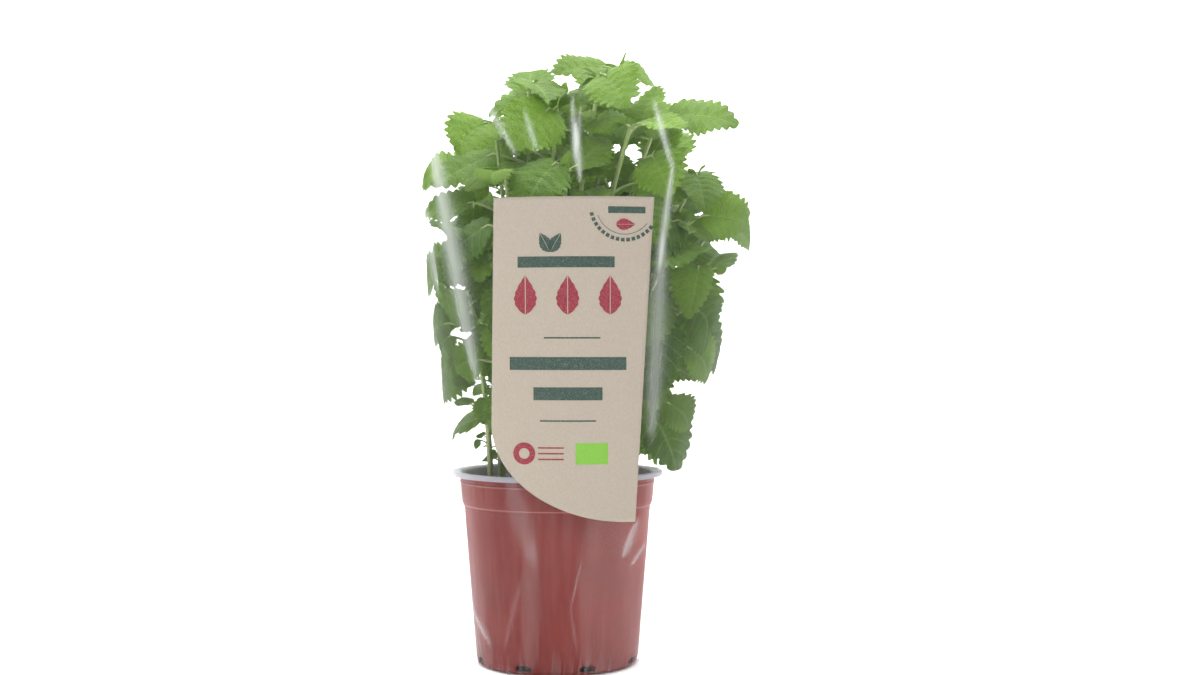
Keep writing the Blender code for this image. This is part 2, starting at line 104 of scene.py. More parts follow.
# Stems: square in section, as in the mint family
STEM_COUNT = 27
STEM_SEGMENTS = 5
STEM_FREE = 0.0015
STEM_FOOT_WIDTH = 0.0024
STEM_TIP_WIDTH = 0.0014
STEM_CLUMP_RADIUS = 0.0350
STEM_SPREAD = 0.80
STEM_LOWEST_TIP = 0.208
STEM_HIGHEST_TIP = 0.298
STEM_LEFT_BONUS = 0.012
GOLDEN_ANGLE = math.radians(137.508)

# Leaves: opposite pairs, each a quarter turn from the one below, with blades that lean to the light
LEAF_PAIRS = 6
LEAF_LENGTH = 0.0350
LEAF_ASPECT = 0.96
LEAF_ROUNDNESS = 0.64
LEAF_TEETH = 5
LEAF_SMALL = 0.036
LEAF_TOOTH_DEPTH = 0.13
LEAF_RIB_THICKNESS = 0.0012
LEAF_LOBE = 0.10
LEAF_RIB_STEPS = (0.30, 0.66)
PITCH_MEAN = -0.30
PITCH_TO_LIGHT = 0.50
PITCH_SPREAD = 0.42
YOUNG_PITCH = 0.25
ROLL_TO_LIGHT = 0.80
ROLL_SPREAD = 0.35
PETIOLE_WIDTH = 0.0016
PETIOLE_LENGTH = 0.0160
CLEARANCE = 0.0012
TRIES = 40
SEED = 43

# A clash test leaves out this first share of a leaf's stalk, which meets its own stem
STALK_CLEAR = 0.2

# No leaf comes nearer to the pot's rim than this, or below this height
RIM_SPACE = 0.0010
RIM_HEADROOM = 0.0015
LEAF_LOWEST = 0.075

UP = Vector((0, 0, 1))
RIGHT = Vector((1, 0, 0))

# Leaves are free up to the first share of the film's half width, and never reach both shares together
FREE_SHARE = 0.84
GIVE_SHARE = 0.115

# Fine leaves
BLADE_STEPS = 63
BLADE_SIDE_STEPS = 6
SMALL_BLADE_STEPS = 36
SMALL_BLADE_SIDE_STEPS = 4
BUD_BLADE_STEPS = 18
FINE_TEETH = 9
FINE_TOOTH_DEPTH = 0.17
FINE_TOOTH_PEAK = 0.68
FINE_TOOTH_LEAN = 0.020
SIDE_VEINS = 6.5
VEIN_SLANT = 0.24
VEIN_START = 0.06
PUCKER_HEIGHT = 0.00075
RIB_GROOVE = 0.00055
STALK_SIDES = 8
STALK_STEPS = 6
STALK_END = 0.10

# Young leaves are paler: the shortest of the part's leaves, small leaves by their length, and buds
SHORT_LEAF = 0.03
SHORT_YOUTH = 0.25
SMALL_YOUTH = 0.6
BUD_YOUTH = 0.85

# Leaves that only the looks have: rounds, place on the stem, size, and how far right the stem may stand
SMALL_LEAF_KINDS = (
    {"rounds": 4, "place": (0.35, 0.97), "size": (0.62, 0.92), "right": 1.0},
    {"rounds": 6, "place": (0.28, 0.99), "size": (0.36, 0.62), "right": 1.0},
    {"rounds": 4, "place": (0.09, 0.30), "size": (0.26, 0.50), "right": 1.0},
    {"rounds": 7, "place": (0.50, 0.86), "size": (0.50, 0.85), "right": -0.022},
)
STEM_MARK = 0.7
SMALL_LEAF_TRIES = 9
CROWN_STEM_TIP = 0.262
CROWN_LEAVES = 3
CROWN_TRIES = 30
CROWN_TOP = 0.3055
BUD_LEAVES = 4
BUD_PLACE = 0.985
BUD_ASPECT = 0.66
BUD_PETIOLE = 0.0025
BUD_FOLD = 0.35
INNER_BUD_SIZE = 0.6

# Each kind's first number among a stem's seeded tries, and how many tries one leaf has
SMALL_LEAF_SERIES = 1000
BUD_SERIES = 2000
CROWN_SERIES = 3000
SERIES_STRIDE = 50
EXTRA_LEAF_PAIR = 2

# Spans of their seeded draws, in the order of drawing
SMALL_LEAF_SPANS = {
    "azimuth": (0, 2 * math.pi),
    "pitch": (-0.7, 0.7),
    "roll": (-0.5, 0.5),
    "lift": (0.2, 1.0),
}
CROWN_LEAF_SPANS = {
    "place": (0.72, 0.97),
    "azimuth": (-1.2, 1.2),
    "length": (0.70, 1.05),
    "aspect": (0.92, 1.06),
    "petiole": (0.4, 1.3),
    "lift": (0.4, 1.2),
    "pitch": (0.6, 1.25),
    "droop": (0.1, 0.6),
    "roll": (-0.25, 0.25),
}
BUD_SPANS = {
    "azimuth": (-0.3, 0.3),
    "length": (0.008, 0.014),
    "lift": (0.8, 1.2),
    "pitch": (0.3, 1.1),
    "droop": (0.5, 1.2),
}

# Leaf tones: the share left to chance, and for the painted shade, darker inside and lower down, where a
# leaf counts as inside or as high up
SHADE_CHANCE = 0.50
SHADE_INNER = 0.45
SHADE_OUTER = 0.72
SHADE_LOW = 0.15
SHADE_HIGH = 0.30

# Fine stems
FINE_STEM_STEPS = 24
FINE_STEM_SIDES = 16
FINE_STEM_SWELL = 1.02
STEM_CORNER = 0.30

# Fine pot: its ridges, its rows inside and outside, its rim, and how far it is out of round
FINE_POT_SIDES = 160
RIDGE_HEIGHTS = (0.0790, 0.0900)
RIDGE_HEIGHT = 0.00035
RIDGE_HALF = 0.00045
COLLAR_START = 0.0005
COLLAR_BLEND = 0.0004
INSIDE_ROW = 0.0018
INSIDE_ROWS = 50
INSIDE_TOP = 0.0030
COLLAR_ROW = 0.0003
COLLAR_ROWS = 62
BODY_ROW = 0.0025
BODY_ROWS = 30
RIM_FILLET = 0.0020
RIM_UNDER_FILLET = 0.0012
POT_AXIS = 0.0001
POT_WOBBLE = 0.0012
WOBBLE_FULL = 0.08

# Fine soil and its crumbs
SOIL_RINGS = 60
SOIL_SIDES = 140
SOIL_GRAIN = 160
SOIL_RELIEF = 0.0011
SOIL_CRUMBS = 900
SOIL_CRUMB_SIZES = (0.0004, 0.0014)
FOOT_CRUMBS = 48
FOOT_CRUMB_SIZES = (0.0005, 0.0013)
FOOT_CRUMB_TOP = 0.0030
CRUMB_SIDES = 6

# Film: each wave's detail round the sleeve, its detail upwards and its strength
FINE_FILM_SIDES = 440
FINE_FILM_ROWS = 160
FILM_FRONT_SHARE = 0.4
FILM_WAVES = ((2.2, 9, 0.006), (7, 40, 0.0021))
FILM_CRUMPLE = (30, 60)
FILM_EASE = 1.001
FILM_EDGE_WAVE = 0.0025
FILM_SLACK = 6
FILM_HAZE = 0.006
FILM_GATHER = 0.010
FILM_GATHER_HEIGHT = 0.006
# Painted reflection: white glare on the folds of the film's crumpled foot
FILM_GATHER_GLARE = 60.0
FILM_MOST_VEIL = 0.9
SEAM_HALF = 0.0020
SEAM_VEIL = 0.16

# Creases of the film's front: low end, high end, half width, painted glare, depth, then crispness and ends
FRONT_STREAKS = (
    ((-0.0160, 0.243), (-0.0330, 0.274), 0.0015, 0.30, 0.0004),
    ((-0.0070, 0.245), (-0.0130, 0.265), 0.0013, 0.26, 0.0003),
    ((0.0125, 0.231), (0.0100, 0.260), 0.0015, 0.36, 0.0005),
    ((0.0102, 0.240), (0.0088, 0.272), 0.0012, 0.28, 0.0003),
    ((0.0112, 0.246), (0.0125, 0.266), 0.0011, 0.20, 0.0002),
    ((0.0480, 0.190), (0.0550, 0.243), 0.0016, 0.40, -0.0008),
    ((0.0550, 0.236), (0.0450, 0.270), 0.0013, 0.40, -0.0008),
    ((0.0450, 0.110), (0.0500, 0.214), 0.0042, 0.30, 0.0008),
    ((-0.0350, 0.135), (-0.0590, 0.268), 0.0040, 0.44, 0.0015),
    ((-0.0560, 0.180), (-0.0700, 0.252), 0.0032, 0.38, -0.0010),
    ((-0.0590, 0.110), (-0.0690, 0.220), 0.0016, 0.30, 0.0006),
    ((0.0740, 0.255), (0.1180, 0.312), 0.0012, 0.06, -0.0006),
    ((-0.0700, 0.240), (-0.0760, 0.300), 0.0010, 0.06, 0.0004),
    ((-0.0435, 0.018), (-0.0455, 0.098), 0.0020, 0.16, 0.0005),
    ((-0.0090, 0.052), (-0.0220, 0.100), 0.0050, 0.10, 0.0004, 4),
    ((-0.0120, 0.002), (-0.0110, 0.066), 0.0045, 0.07, 0.0003, 6, 0.4),
    ((0.0230, 0.002), (0.0250, 0.080), 0.0140, 0.07, 0.0004, 8, 0.3),
    ((0.0070, 0.032), (0.0130, 0.058), 0.0006, 0.16, 0.0003),
    ((0.0110, 0.008), (0.0068, 0.036), 0.0006, 0.14, 0.0003),
    ((-0.0250, 0.010), (-0.0150, 0.050), 0.0012, 0.10, 0.0003),
    ((0.0320, 0.056), (0.0400, 0.076), 0.0022, 0.36, -0.0014),
    ((0.0350, 0.052), (0.0430, 0.064), 0.0012, 0.34, 0.0008),
    ((-0.0300, 0.012), (-0.0400, 0.030), 0.0016, 0.30, 0.0010),
    ((0.0440, 0.012), (0.0480, 0.092), 0.0016, 0.24, 0.0006),
)

# Spans for the back's creases: share is how far out the low end stands, shift how much more the high
BACK_STREAKS = 14
BACK_STREAK_SPANS = {
    "low": (0.02, 0.12),
    "high": (0.20, 0.32),
    "share": (-0.9, 0.9),
    "shift": (-0.1, 0.1),
    "half": (0.0008, 0.0025),
    # Painted glare along each back crease
    "veil": (0.04, 0.16),
    "depth": (-0.0012, 0.0012),
}

# Label and its print: level bars as left and right end from the print's middle, and low and high edge
FINE_LABEL_COLUMNS = 60
FINE_LABEL_ROWS = 90
LABEL_RIPPLE = 0.00025
PRINT_LIFT = 0.00006
PRINTED_RIB = 0.012
PRINT_MIDDLE = 0.0065
RING_MIDDLE = (0.0325, 0.2215)
GREEN_BARS = (
    (-0.0230, 0.0215, 0.1935, 0.1985),
    (-0.0110, 0.0150, 0.1610, 0.1617),
    (-0.0270, 0.0270, 0.1465, 0.1525),
    (-0.0160, 0.0160, 0.1325, 0.1385),
    (-0.0130, 0.0130, 0.1225, 0.1232),
)
CRIMSON_BARS = tuple((-0.0140, -0.0020, low, low + 0.0007) for low in (0.1045, 0.1072, 0.1099))
FRESH_PATCH = (0.0035, 0.0185, 0.1025, 0.1125)

# Studio: paper that bends up behind the object, and lights as name, place, target, size and power
WORLD_LIGHT = 0.42
PAPER_HALF_WIDTH = 3.0
PAPER_FRONT = -2.5
PAPER_BEND_START = 0.9
PAPER_BEND = 0.7
PAPER_TOP = 3.2
LIGHTS = (
    ("key_light", (-0.75, -0.85, 1.25), (0.02, 0, 0.15), 0.7, 13.0),
    ("fill_light", (1.1, -0.7, 0.7), (0.02, 0, 0.15), 1.0, 3.5),
    ("top_light", (0.0, 0.25, 1.15), (0.02, 0, 0.2), 0.7, 9.0),
    ("wall_light_left", (-0.9, 0.65, 1.5), (-0.3, 1.6, 0.25), 1.0, 40.0),
    ("wall_light_right", (0.9, 0.65, 1.5), (0.3, 1.6, 0.25), 1.0, 40.0),
)


def film_centre(height):
    """Centre of the sleeve's section at this height."""
    return Vector((FILM_LEAN * height, 0, height))


def film_half_widths(height):
    """Half width along X and half depth along Y of the sleeve's section at this height."""
    return (
        FILM_FOOT_RADIUS + FILM_FLARE_WIDE * height,
        FILM_FOOT_RADIUS + FILM_FLARE_DEEP * height,
    )


def film_point(height, angle, share=1.0):
    """A point at this share of the way from the sleeve's centre line to its inner face."""
    wide, deep = film_half_widths(height)
    offset = Vector((wide * math.cos(angle), deep * math.sin(angle), 0))
    return film_centre(height) + share * offset


def hold_inside(point):
    """The same point, or the place that the film presses it to if it would reach the film."""
    wide, deep = film_half_widths(point.z)
    centre = film_centre(point.z)
    x, y = (point.x - centre.x) / wide, (point.y - centre.y) / deep
    share = math.hypot(x, y)
    if share <= FREE_SHARE:
        return point
    kept = FREE_SHARE + GIVE_SHARE * (1 - math.exp((FREE_SHARE - share) / GIVE_SHARE))
    scale = kept / share
    return Vector((centre.x + x * wide * scale, centre.y + y * deep * scale, point.z))


def stem_point(stem, t):
    """A point of a stem's centre line, t being 0 at its root's end and 1 at its tip."""
    sunk = SOIL_LEVEL - STEM_SUNK
    height = sunk + (stem["tip_height"] - sunk) * t
    rise = max(0.0, (height - stem["soil"]) / (stem["tip_height"] - stem["soil"]))
    foot = stem["foot"]
    if rise == 0:
        return Vector((foot.x, foot.y, height))
    spread = rise ** stem["bend"]
    tip = film_point(height, stem["angle"] + stem["twist"] * rise, stem["share"])
    return Vector((foot.x + (tip.x - foot.x) * spread, foot.y + (tip.y - foot.y) * spread, height))


def stem_shares(stem):
    """Where the stem's straight pieces meet: at its root's end, just above the soil, and up to its tip."""
    sunk = SOIL_LEVEL - STEM_SUNK
    out = (stem["soil"] + STEM_FREE - sunk) / (stem["tip_height"] - sunk)
    return [0.0] + [out + (1 - out) * k / STEM_SEGMENTS for k in range(STEM_SEGMENTS + 1)]


def stem_station(stem, t):
    """A point of the straight pieces that the stem is modelled with."""
    shares = stem_shares(stem)
    k = max(k for k in range(len(shares) - 1) if shares[k] <= t)
    low, high = stem_point(stem, shares[k]), stem_point(stem, shares[k + 1])
    return low.lerp(high, (t - shares[k]) / (shares[k + 1] - shares[k]))


def stem_half_width(t):
    """Half of the square stem's width."""
    return 0.5 * (STEM_FOOT_WIDTH + (STEM_TIP_WIDTH - STEM_FOOT_WIDTH) * t)


def make_stem(index):
    """The place and lean of one stem, from the sunflower rule with a seeded draw."""
    rng = random.Random(SEED * 1000 + index)
    share = math.sqrt((index + 0.5) / STEM_COUNT)
    angle = index * GOLDEN_ANGLE + rng.uniform(-0.12, 0.12)
    foot = Vector((math.cos(angle), math.sin(angle), 0)) * STEM_CLUMP_RADIUS * share
    reach = 1 - share**2
    height = STEM_LOWEST_TIP + (STEM_HIGHEST_TIP - STEM_LOWEST_TIP) * reach
    height -= STEM_LEFT_BONUS * math.cos(angle) * share
    return {
        "index": index,
        "foot": foot,
        "angle": angle,
        "share": STEM_SPREAD * share,
        "twist": rng.uniform(-0.10, 0.10),
        "bend": rng.uniform(1.15, 1.45),
        "tip_height": height + rng.uniform(-0.012, 0.006),
        "soil": SOIL_LEVEL + SOIL_CROWN,
        "turn": rng.uniform(0, math.pi),
        "leaves": [],
        "small": [],
        "buds": [],
    }


def leaf_draw(stem, pair, side, attempt):
    """One try at a leaf: its place on the stem, size and attitude, from a seeded draw."""
    rng = random.Random(f"{SEED}-{stem['index']}-{pair}-{side}-{attempt}")
    level = (pair + 0.5 * rng.random()) / LEAF_PAIRS if pair else 0.08 * rng.random()
    first = 0.42 if stem["index"] % 3 else 0.16
    t = first + (0.985 - first) * (level**0.85 if pair < LEAF_PAIRS - 1 else 1.0)
    eager = max(0.45, 1 - 0.012 * attempt)
    young = 0.92 if pair == LEAF_PAIRS - 1 else 1.0
    low = 0.80 if pair == 0 else 1.0
    length = LEAF_LENGTH * rng.uniform(0.78, 1.16) * young * low * eager
    azimuth = stem["turn"] + pair * math.pi / 2 + side * math.pi + rng.uniform(-0.45, 0.45)
    lift = rng.uniform(0.10, 0.85) if young == 1 else rng.uniform(0.3, 1.0)
    pitch = PITCH_MEAN + PITCH_TO_LIGHT * math.sin(azimuth) + (YOUNG_PITCH if young < 1 else 0.0)
    return {
        "root": stem_station(stem, t),
        "azimuth": azimuth,
        "lift": lift,
        "petiole": PETIOLE_LENGTH * rng.uniform(0.55, 1.35) * (0.5 if young < 1 else 1.0),
        "length": length,
        "width": length * LEAF_ASPECT * rng.uniform(0.90, 1.08),
        "pitch": pitch + rng.uniform(-PITCH_SPREAD, PITCH_SPREAD),
        "droop": rng.uniform(0.15, 0.70),
        "roll": ROLL_TO_LIGHT * math.cos(azimuth) + rng.uniform(-ROLL_SPREAD, ROLL_SPREAD),
        "fold": rng.uniform(0.02, 0.26),
        "teeth": LEAF_TEETH if length > LEAF_SMALL else LEAF_TEETH - 1,
        "seed": rng.random(),
    }


def leaf_axes(leaf):
    """Heading away from the stem, and the level direction across it."""
    heading = Vector((math.cos(leaf["azimuth"]), math.sin(leaf["azimuth"]), 0))
    return heading, Vector((-heading.y, heading.x, 0))


def petiole_point(leaf, t):
    """A point of the leaf stalk's centre line, t being 0 on the stem and 1 at the blade."""
    heading, _ = leaf_axes(leaf)
    pitch = leaf["lift"] * (1 - 0.35 * t)
    step = Vector((heading.x * math.cos(pitch), heading.y * math.cos(pitch), math.sin(pitch)))
    return hold_inside(leaf["root"] + step * leaf["petiole"] * t)


def blade_form(along):
    """The half width of a blade with no teeth, at a share of its length, as a share of the greatest one."""
    return max(0.0, math.sin(math.pi * along**0.70)) ** LEAF_ROUNDNESS


def blade_outline(along, teeth):
    """The same half width with this many teeth, as the part has them."""
    notch = 1 - abs(math.sin(math.pi * teeth * along)) ** 0.7
    return blade_form(along) * (1 - LEAF_TOOTH_DEPTH * notch)


def blade_place(leaf, along, across, half, relief=0.0):
    """A point of a blade this wide: along is 0 at the stalk and 1 at the tip, across is -1 to 1."""
    heading, level = leaf_axes(leaf)
    base = petiole_point(leaf, 1)
    lobe = LEAF_LOBE * across * across * (1 - along) ** 6 * (1 if along > 0 else 0)
    s = along - lobe
    pitch, droop = leaf["pitch"], leaf["droop"]
    out = (math.sin(pitch) - math.sin(pitch - droop * s)) / droop
    up = (math.cos(pitch - droop * s) - math.cos(pitch)) / droop
    point = base + (heading * out + UP * up) * leaf["length"]
    here = pitch - droop * s
    normal = UP * math.cos(here) - heading * math.sin(here)
    tilted = level * math.cos(leaf["roll"]) + normal * math.sin(leaf["roll"])
    risen = normal * math.cos(leaf["roll"]) - level * math.sin(leaf["roll"])
    wave = 0.10 * math.sin(9 * along + 6.3 * leaf["seed"]) * across * across
    lifted = leaf["fold"] * abs(across) + wave - 0.10 * across * across
    return hold_inside(point + tilted * half * across + risen * (half * lifted + relief))


def blade_point(leaf, along, across, teeth):
    """A point of the middle surface of the blade with this many teeth on each side."""
    return blade_place(leaf, along, across, 0.5 * leaf["width"] * blade_outline(along, teeth))


def zip_rows(inner, outer):
    """Triangles between two rows of (vertex, share of the length), walked together by that share."""
    triangles = []
    i = j = 0
    while i < len(inner) - 1 or j < len(outer) - 1:
        step_inner = i < len(inner) - 1 and (
            j == len(outer) - 1 or inner[i + 1][1] <= outer[j + 1][1]
        )
        a, b = inner[i][0], outer[j][0]
        c = inner[i + 1][0] if step_inner else outer[j + 1][0]
        if len({a, b, c}) == 3:
            triangles.append((a, b, c))
        i, j = (i + 1, j) if step_inner else (i, j + 1)
    return triangles


def ring_around(centre, tangent, guide, half_diagonal):
    """Four corners of a square section across the tangent, the first being the one towards the guide."""
    across = tangent.cross(guide).normalized() * half_diagonal
    towards = across.cross(tangent)
    return [centre + towards, centre + across, centre - towards, centre - across]


def leaf_surface(leaf):
    """The blade's middle surface: points, triangles, and the vertices of its left and right edges."""
    teeth = leaf["teeth"]
    steps = (0.0,) + LEAF_RIB_STEPS + (1.0,)
    points = [blade_point(leaf, s, 0, teeth) for s in steps]
    rib = [(k, s) for k, s in enumerate(steps)]
    tip = rib[-1]
    edges, triangles = [], []
    for sign in (-1, 1):
        edge = []
        for k in range(2 * teeth):
            along = k / (2 * teeth)
            if k:
                points.append(blade_point(leaf, along, sign, teeth))
            else:
                _, level = leaf_axes(leaf)
                points.append(points[0] + level * sign * 0.5 * PETIOLE_WIDTH)
            edge.append((len(points) - 1, along))
        edges.append([vertex for vertex, _ in edge])
        strip = zip_rows(rib, edge + [tip])
        triangles += strip if sign < 0 else [(c, b, a) for a, b, c in strip]
    return points, triangles, edges


def surface_normals(points, triangles):
    """A unit normal at each point, from the triangles around it."""
    normals = [Vector() for _ in points]
    for triangle in triangles:
        a, b, c = (points[k] for k in triangle)
        face = (b - a).cross(c - a)
        for k in triangle:
            normals[k] += face
    return [normal.normalized() for normal in normals]


def leaf_solid(leaf, more=0.0):
    """(points, faces) of a leaf and its stalk as one closed solid that is thicker by `more`."""
    surface, triangles, edges = leaf_surface(leaf)
    normals = surface_normals(surface, triangles)
    rib_count = len(LEAF_RIB_STEPS) + 2
    thickness = 0.5 * (LEAF_RIB_THICKNESS + more)
    points = list(surface)
    upper, lower = {}, {}
    for k, point in enumerate(surface):
        inner = k < rib_count - 1
        upper[k] = lower[k] = k
        if inner or more:
            points[k] = point + normals[k] * thickness
            points.append(point - normals[k] * thickness)
            lower[k] = len(points) - 1
    faces = [tuple(upper[k] for k in face) for face in triangles]
    faces += [tuple(lower[k] for k in reversed(face)) for face in triangles]
    left, right = edges
    if more:
        border = [0] + left + [rib_count - 1] + right[::-1]
        for a, b in zip(border, border[1:] + border[:1]):
            if a and b:
                faces.append((upper[a], lower[a], lower[b], upper[b]))
    section = [upper[0], right[0], lower[0], left[0]]
    half = 0.5 * (PETIOLE_WIDTH + more)
    direction = (petiole_point(leaf, 1) - petiole_point(leaf, 0)).normalized()
    first = len(points)
    points += ring_around(petiole_point(leaf, STALK_CLEAR), direction, UP, half)
    ring = [first, first + 3, first + 2, first + 1]
    for k in range(4):
        after = (k + 1) % 4
        faces.append((section[k], section[after], ring[after], ring[k]))
    faces.append(tuple(ring))
    return points, faces


def stem_solid(stem):
    """(points, faces) of a square stem with the clearance that leaves keep to it."""
    points, faces, last = [], [], None
    for k, t in enumerate(stem_shares(stem)):
        below, above = stem_point(stem, max(0, t - 0.01)), stem_point(stem, min(1, t + 0.01))
        first = len(points)
        half_diagonal = math.sqrt(2) * (stem_half_width(t) + 0.5 * CLEARANCE)
        tangent = (above - below).normalized() if k > 1 else UP
        points += ring_around(stem_point(stem, t), tangent, RIGHT, half_diagonal)
        ring = [first, first + 1, first + 2, first + 3]
        if last:
            for j in range(4):
                after = (j + 1) % 4
                faces.append((last[j], last[after], ring[after], ring[j]))
        else:
            faces.append(tuple(reversed(ring)))
        last = ring
    faces.append(tuple(last))
    return points, faces


def tree_of(points, faces):
    """A search tree with the bounding ball of a mesh."""
    centre = sum(points, Vector()) / len(points)
    radius = max((point - centre).length for point in points)
    return BVHTree.FromPolygons(points, faces), centre, radius


def crosses(tree, others):
    """True if a mesh crosses one of the others."""
    found, centre, radius = tree
    for other, other_centre, other_radius in others:
        near = (other_centre - centre).length < radius + other_radius
        if near and found.overlap(other):
            return True
    return False


def clear_of_pot(leaf_points):
    """True if no point is in or under the pot's rim, or in the soil."""
    for point in leaf_points:
        r = math.hypot(point.x, point.y)
        if r < POT_RIM_RADIUS + RIM_SPACE and point.z < POT_HEIGHT + RIM_HEADROOM:
            return False
        if point.z < LEAF_LOWEST:
            return False
    return True


def draw(rng, spans):
    """A seeded number from each of these spans."""
    return {key: rng.uniform(*span) for key, span in spans.items()}


def small_leaf(stem, kind, number, attempt):
    """One try at a small leaf on this stem."""
    rng = random.Random(f"{SEED}-small-{stem['index']}-{number}-{attempt}")
    series = SMALL_LEAF_SERIES + SERIES_STRIDE * number + attempt
    leaf = leaf_draw(stem, EXTRA_LEAF_PAIR, number % 2, series)
    shrink = rng.uniform(*kind["size"])
    leaf["root"] = stem_station(stem, rng.uniform(*kind["place"]))
    drawn = draw(rng, SMALL_LEAF_SPANS)
    leaf["azimuth"] = stem["turn"] + drawn["azimuth"]
    leaf["length"] *= shrink
    leaf["width"] *= shrink
    leaf["petiole"] *= 0.8 * shrink
    leaf["pitch"] = PITCH_MEAN + PITCH_TO_LIGHT * math.sin(leaf["azimuth"]) + drawn["pitch"]
    leaf["roll"] = ROLL_TO_LIGHT * math.cos(leaf["azimuth"]) + drawn["roll"]
    leaf["lift"] = drawn["lift"]
    return leaf


def crown_leaf(stem, number, attempt):
    """One try at an upright leaf of the crown, with its face to the front."""
    rng = random.Random(f"{SEED}-crown-{stem['index']}-{number}-{attempt}")
    series = CROWN_SERIES + SERIES_STRIDE * number + attempt
    leaf = leaf_draw(stem, EXTRA_LEAF_PAIR, number % 2, series)
    leaf.update(draw(rng, CROWN_LEAF_SPANS))
    leaf["root"] = stem_station(stem, leaf["place"])
    leaf["azimuth"] += math.pi / 2
    leaf["length"] *= LEAF_LENGTH
    leaf["width"] = leaf["length"] * leaf["aspect"]
    leaf["petiole"] *= PETIOLE_LENGTH
    return leaf


def bud_leaf(stem, number):
    """A young leaf in the stem's tip."""
    rng = random.Random(f"{SEED}-bud-{stem['index']}-{number}")
    leaf = leaf_draw(stem, LEAF_PAIRS - 1, number % 2, BUD_SERIES + number)
    drawn = draw(rng, BUD_SPANS)
    leaf.update(drawn)
    leaf["root"] = stem_station(stem, BUD_PLACE)
    leaf["azimuth"] = stem["turn"] + number * math.pi / 2 + math.pi / 4 + drawn["azimuth"]
    leaf["length"] *= 1 if number < 2 else INNER_BUD_SIZE
    leaf["width"] = BUD_ASPECT * leaf["length"]
    leaf["petiole"] = BUD_PETIOLE
    leaf["fold"] = BUD_FOLD
    return leaf


class Plant:
    """The stems and leaves, with search trees of what has grown, so that nothing new crosses it."""

    def __init__(self):
        self.stems = [make_stem(index) for index in range(STEM_COUNT)]
        self.stem_trees = [tree_of(*stem_solid(stem)) for stem in self.stems]
        self.leaf_trees = []

    def grow(self, stem, kind, tries, top=math.inf):
        """Adds the first of these leaves that is clear of everything else and under this height."""
        others = self.stem_trees[: stem["index"]] + self.stem_trees[stem["index"] + 1 :]
        for leaf in tries:
            points, faces = leaf_solid(leaf, CLEARANCE)
            if not clear_of_pot(points) or max(point.z for point in points) > top:
                continue
            tree = tree_of(points, faces)
            if crosses(tree, self.leaf_trees) or crosses(tree, others):
                continue
            stem[kind].append(leaf)
            self.leaf_trees.append(tree if kind == "small" else tree_of(*leaf_solid(leaf)))
            return

    def grow_pairs(self):
        """The pairs of leaves that the part has."""
        for pair in reversed(range(LEAF_PAIRS)):
            for stem in self.stems:
                for side in (0, 1):
                    self.grow(stem, "leaves", (leaf_draw(stem, pair, side, k) for k in range(TRIES)))

    def grow_crown(self):
        """Upright leaves on the tall stems, which only the looks have."""
        for number in range(CROWN_LEAVES):
            for stem in self.stems:
                if stem["tip_height"] > CROWN_STEM_TIP:
                    tries = (crown_leaf(stem, number, k) for k in range(CROWN_TRIES))
                    self.grow(stem, "small", tries, CROWN_TOP)

    def grow_small(self):
        """Small leaves and buds, which only the looks have."""
        number = 0
        for kind in SMALL_LEAF_KINDS:
            stems = [stem for stem in self.stems if stem_point(stem, STEM_MARK).x < kind["right"]]
            for _ in range(kind["rounds"]):
                for stem in stems:
                    tries = (small_leaf(stem, kind, number, k) for k in range(SMALL_LEAF_TRIES))
                    self.grow(stem, "small", tries, CROWN_TOP)
                number += 1
        for stem in self.stems:
            stem["buds"] = [bud_leaf(stem, number) for number in range(BUD_LEAVES)]


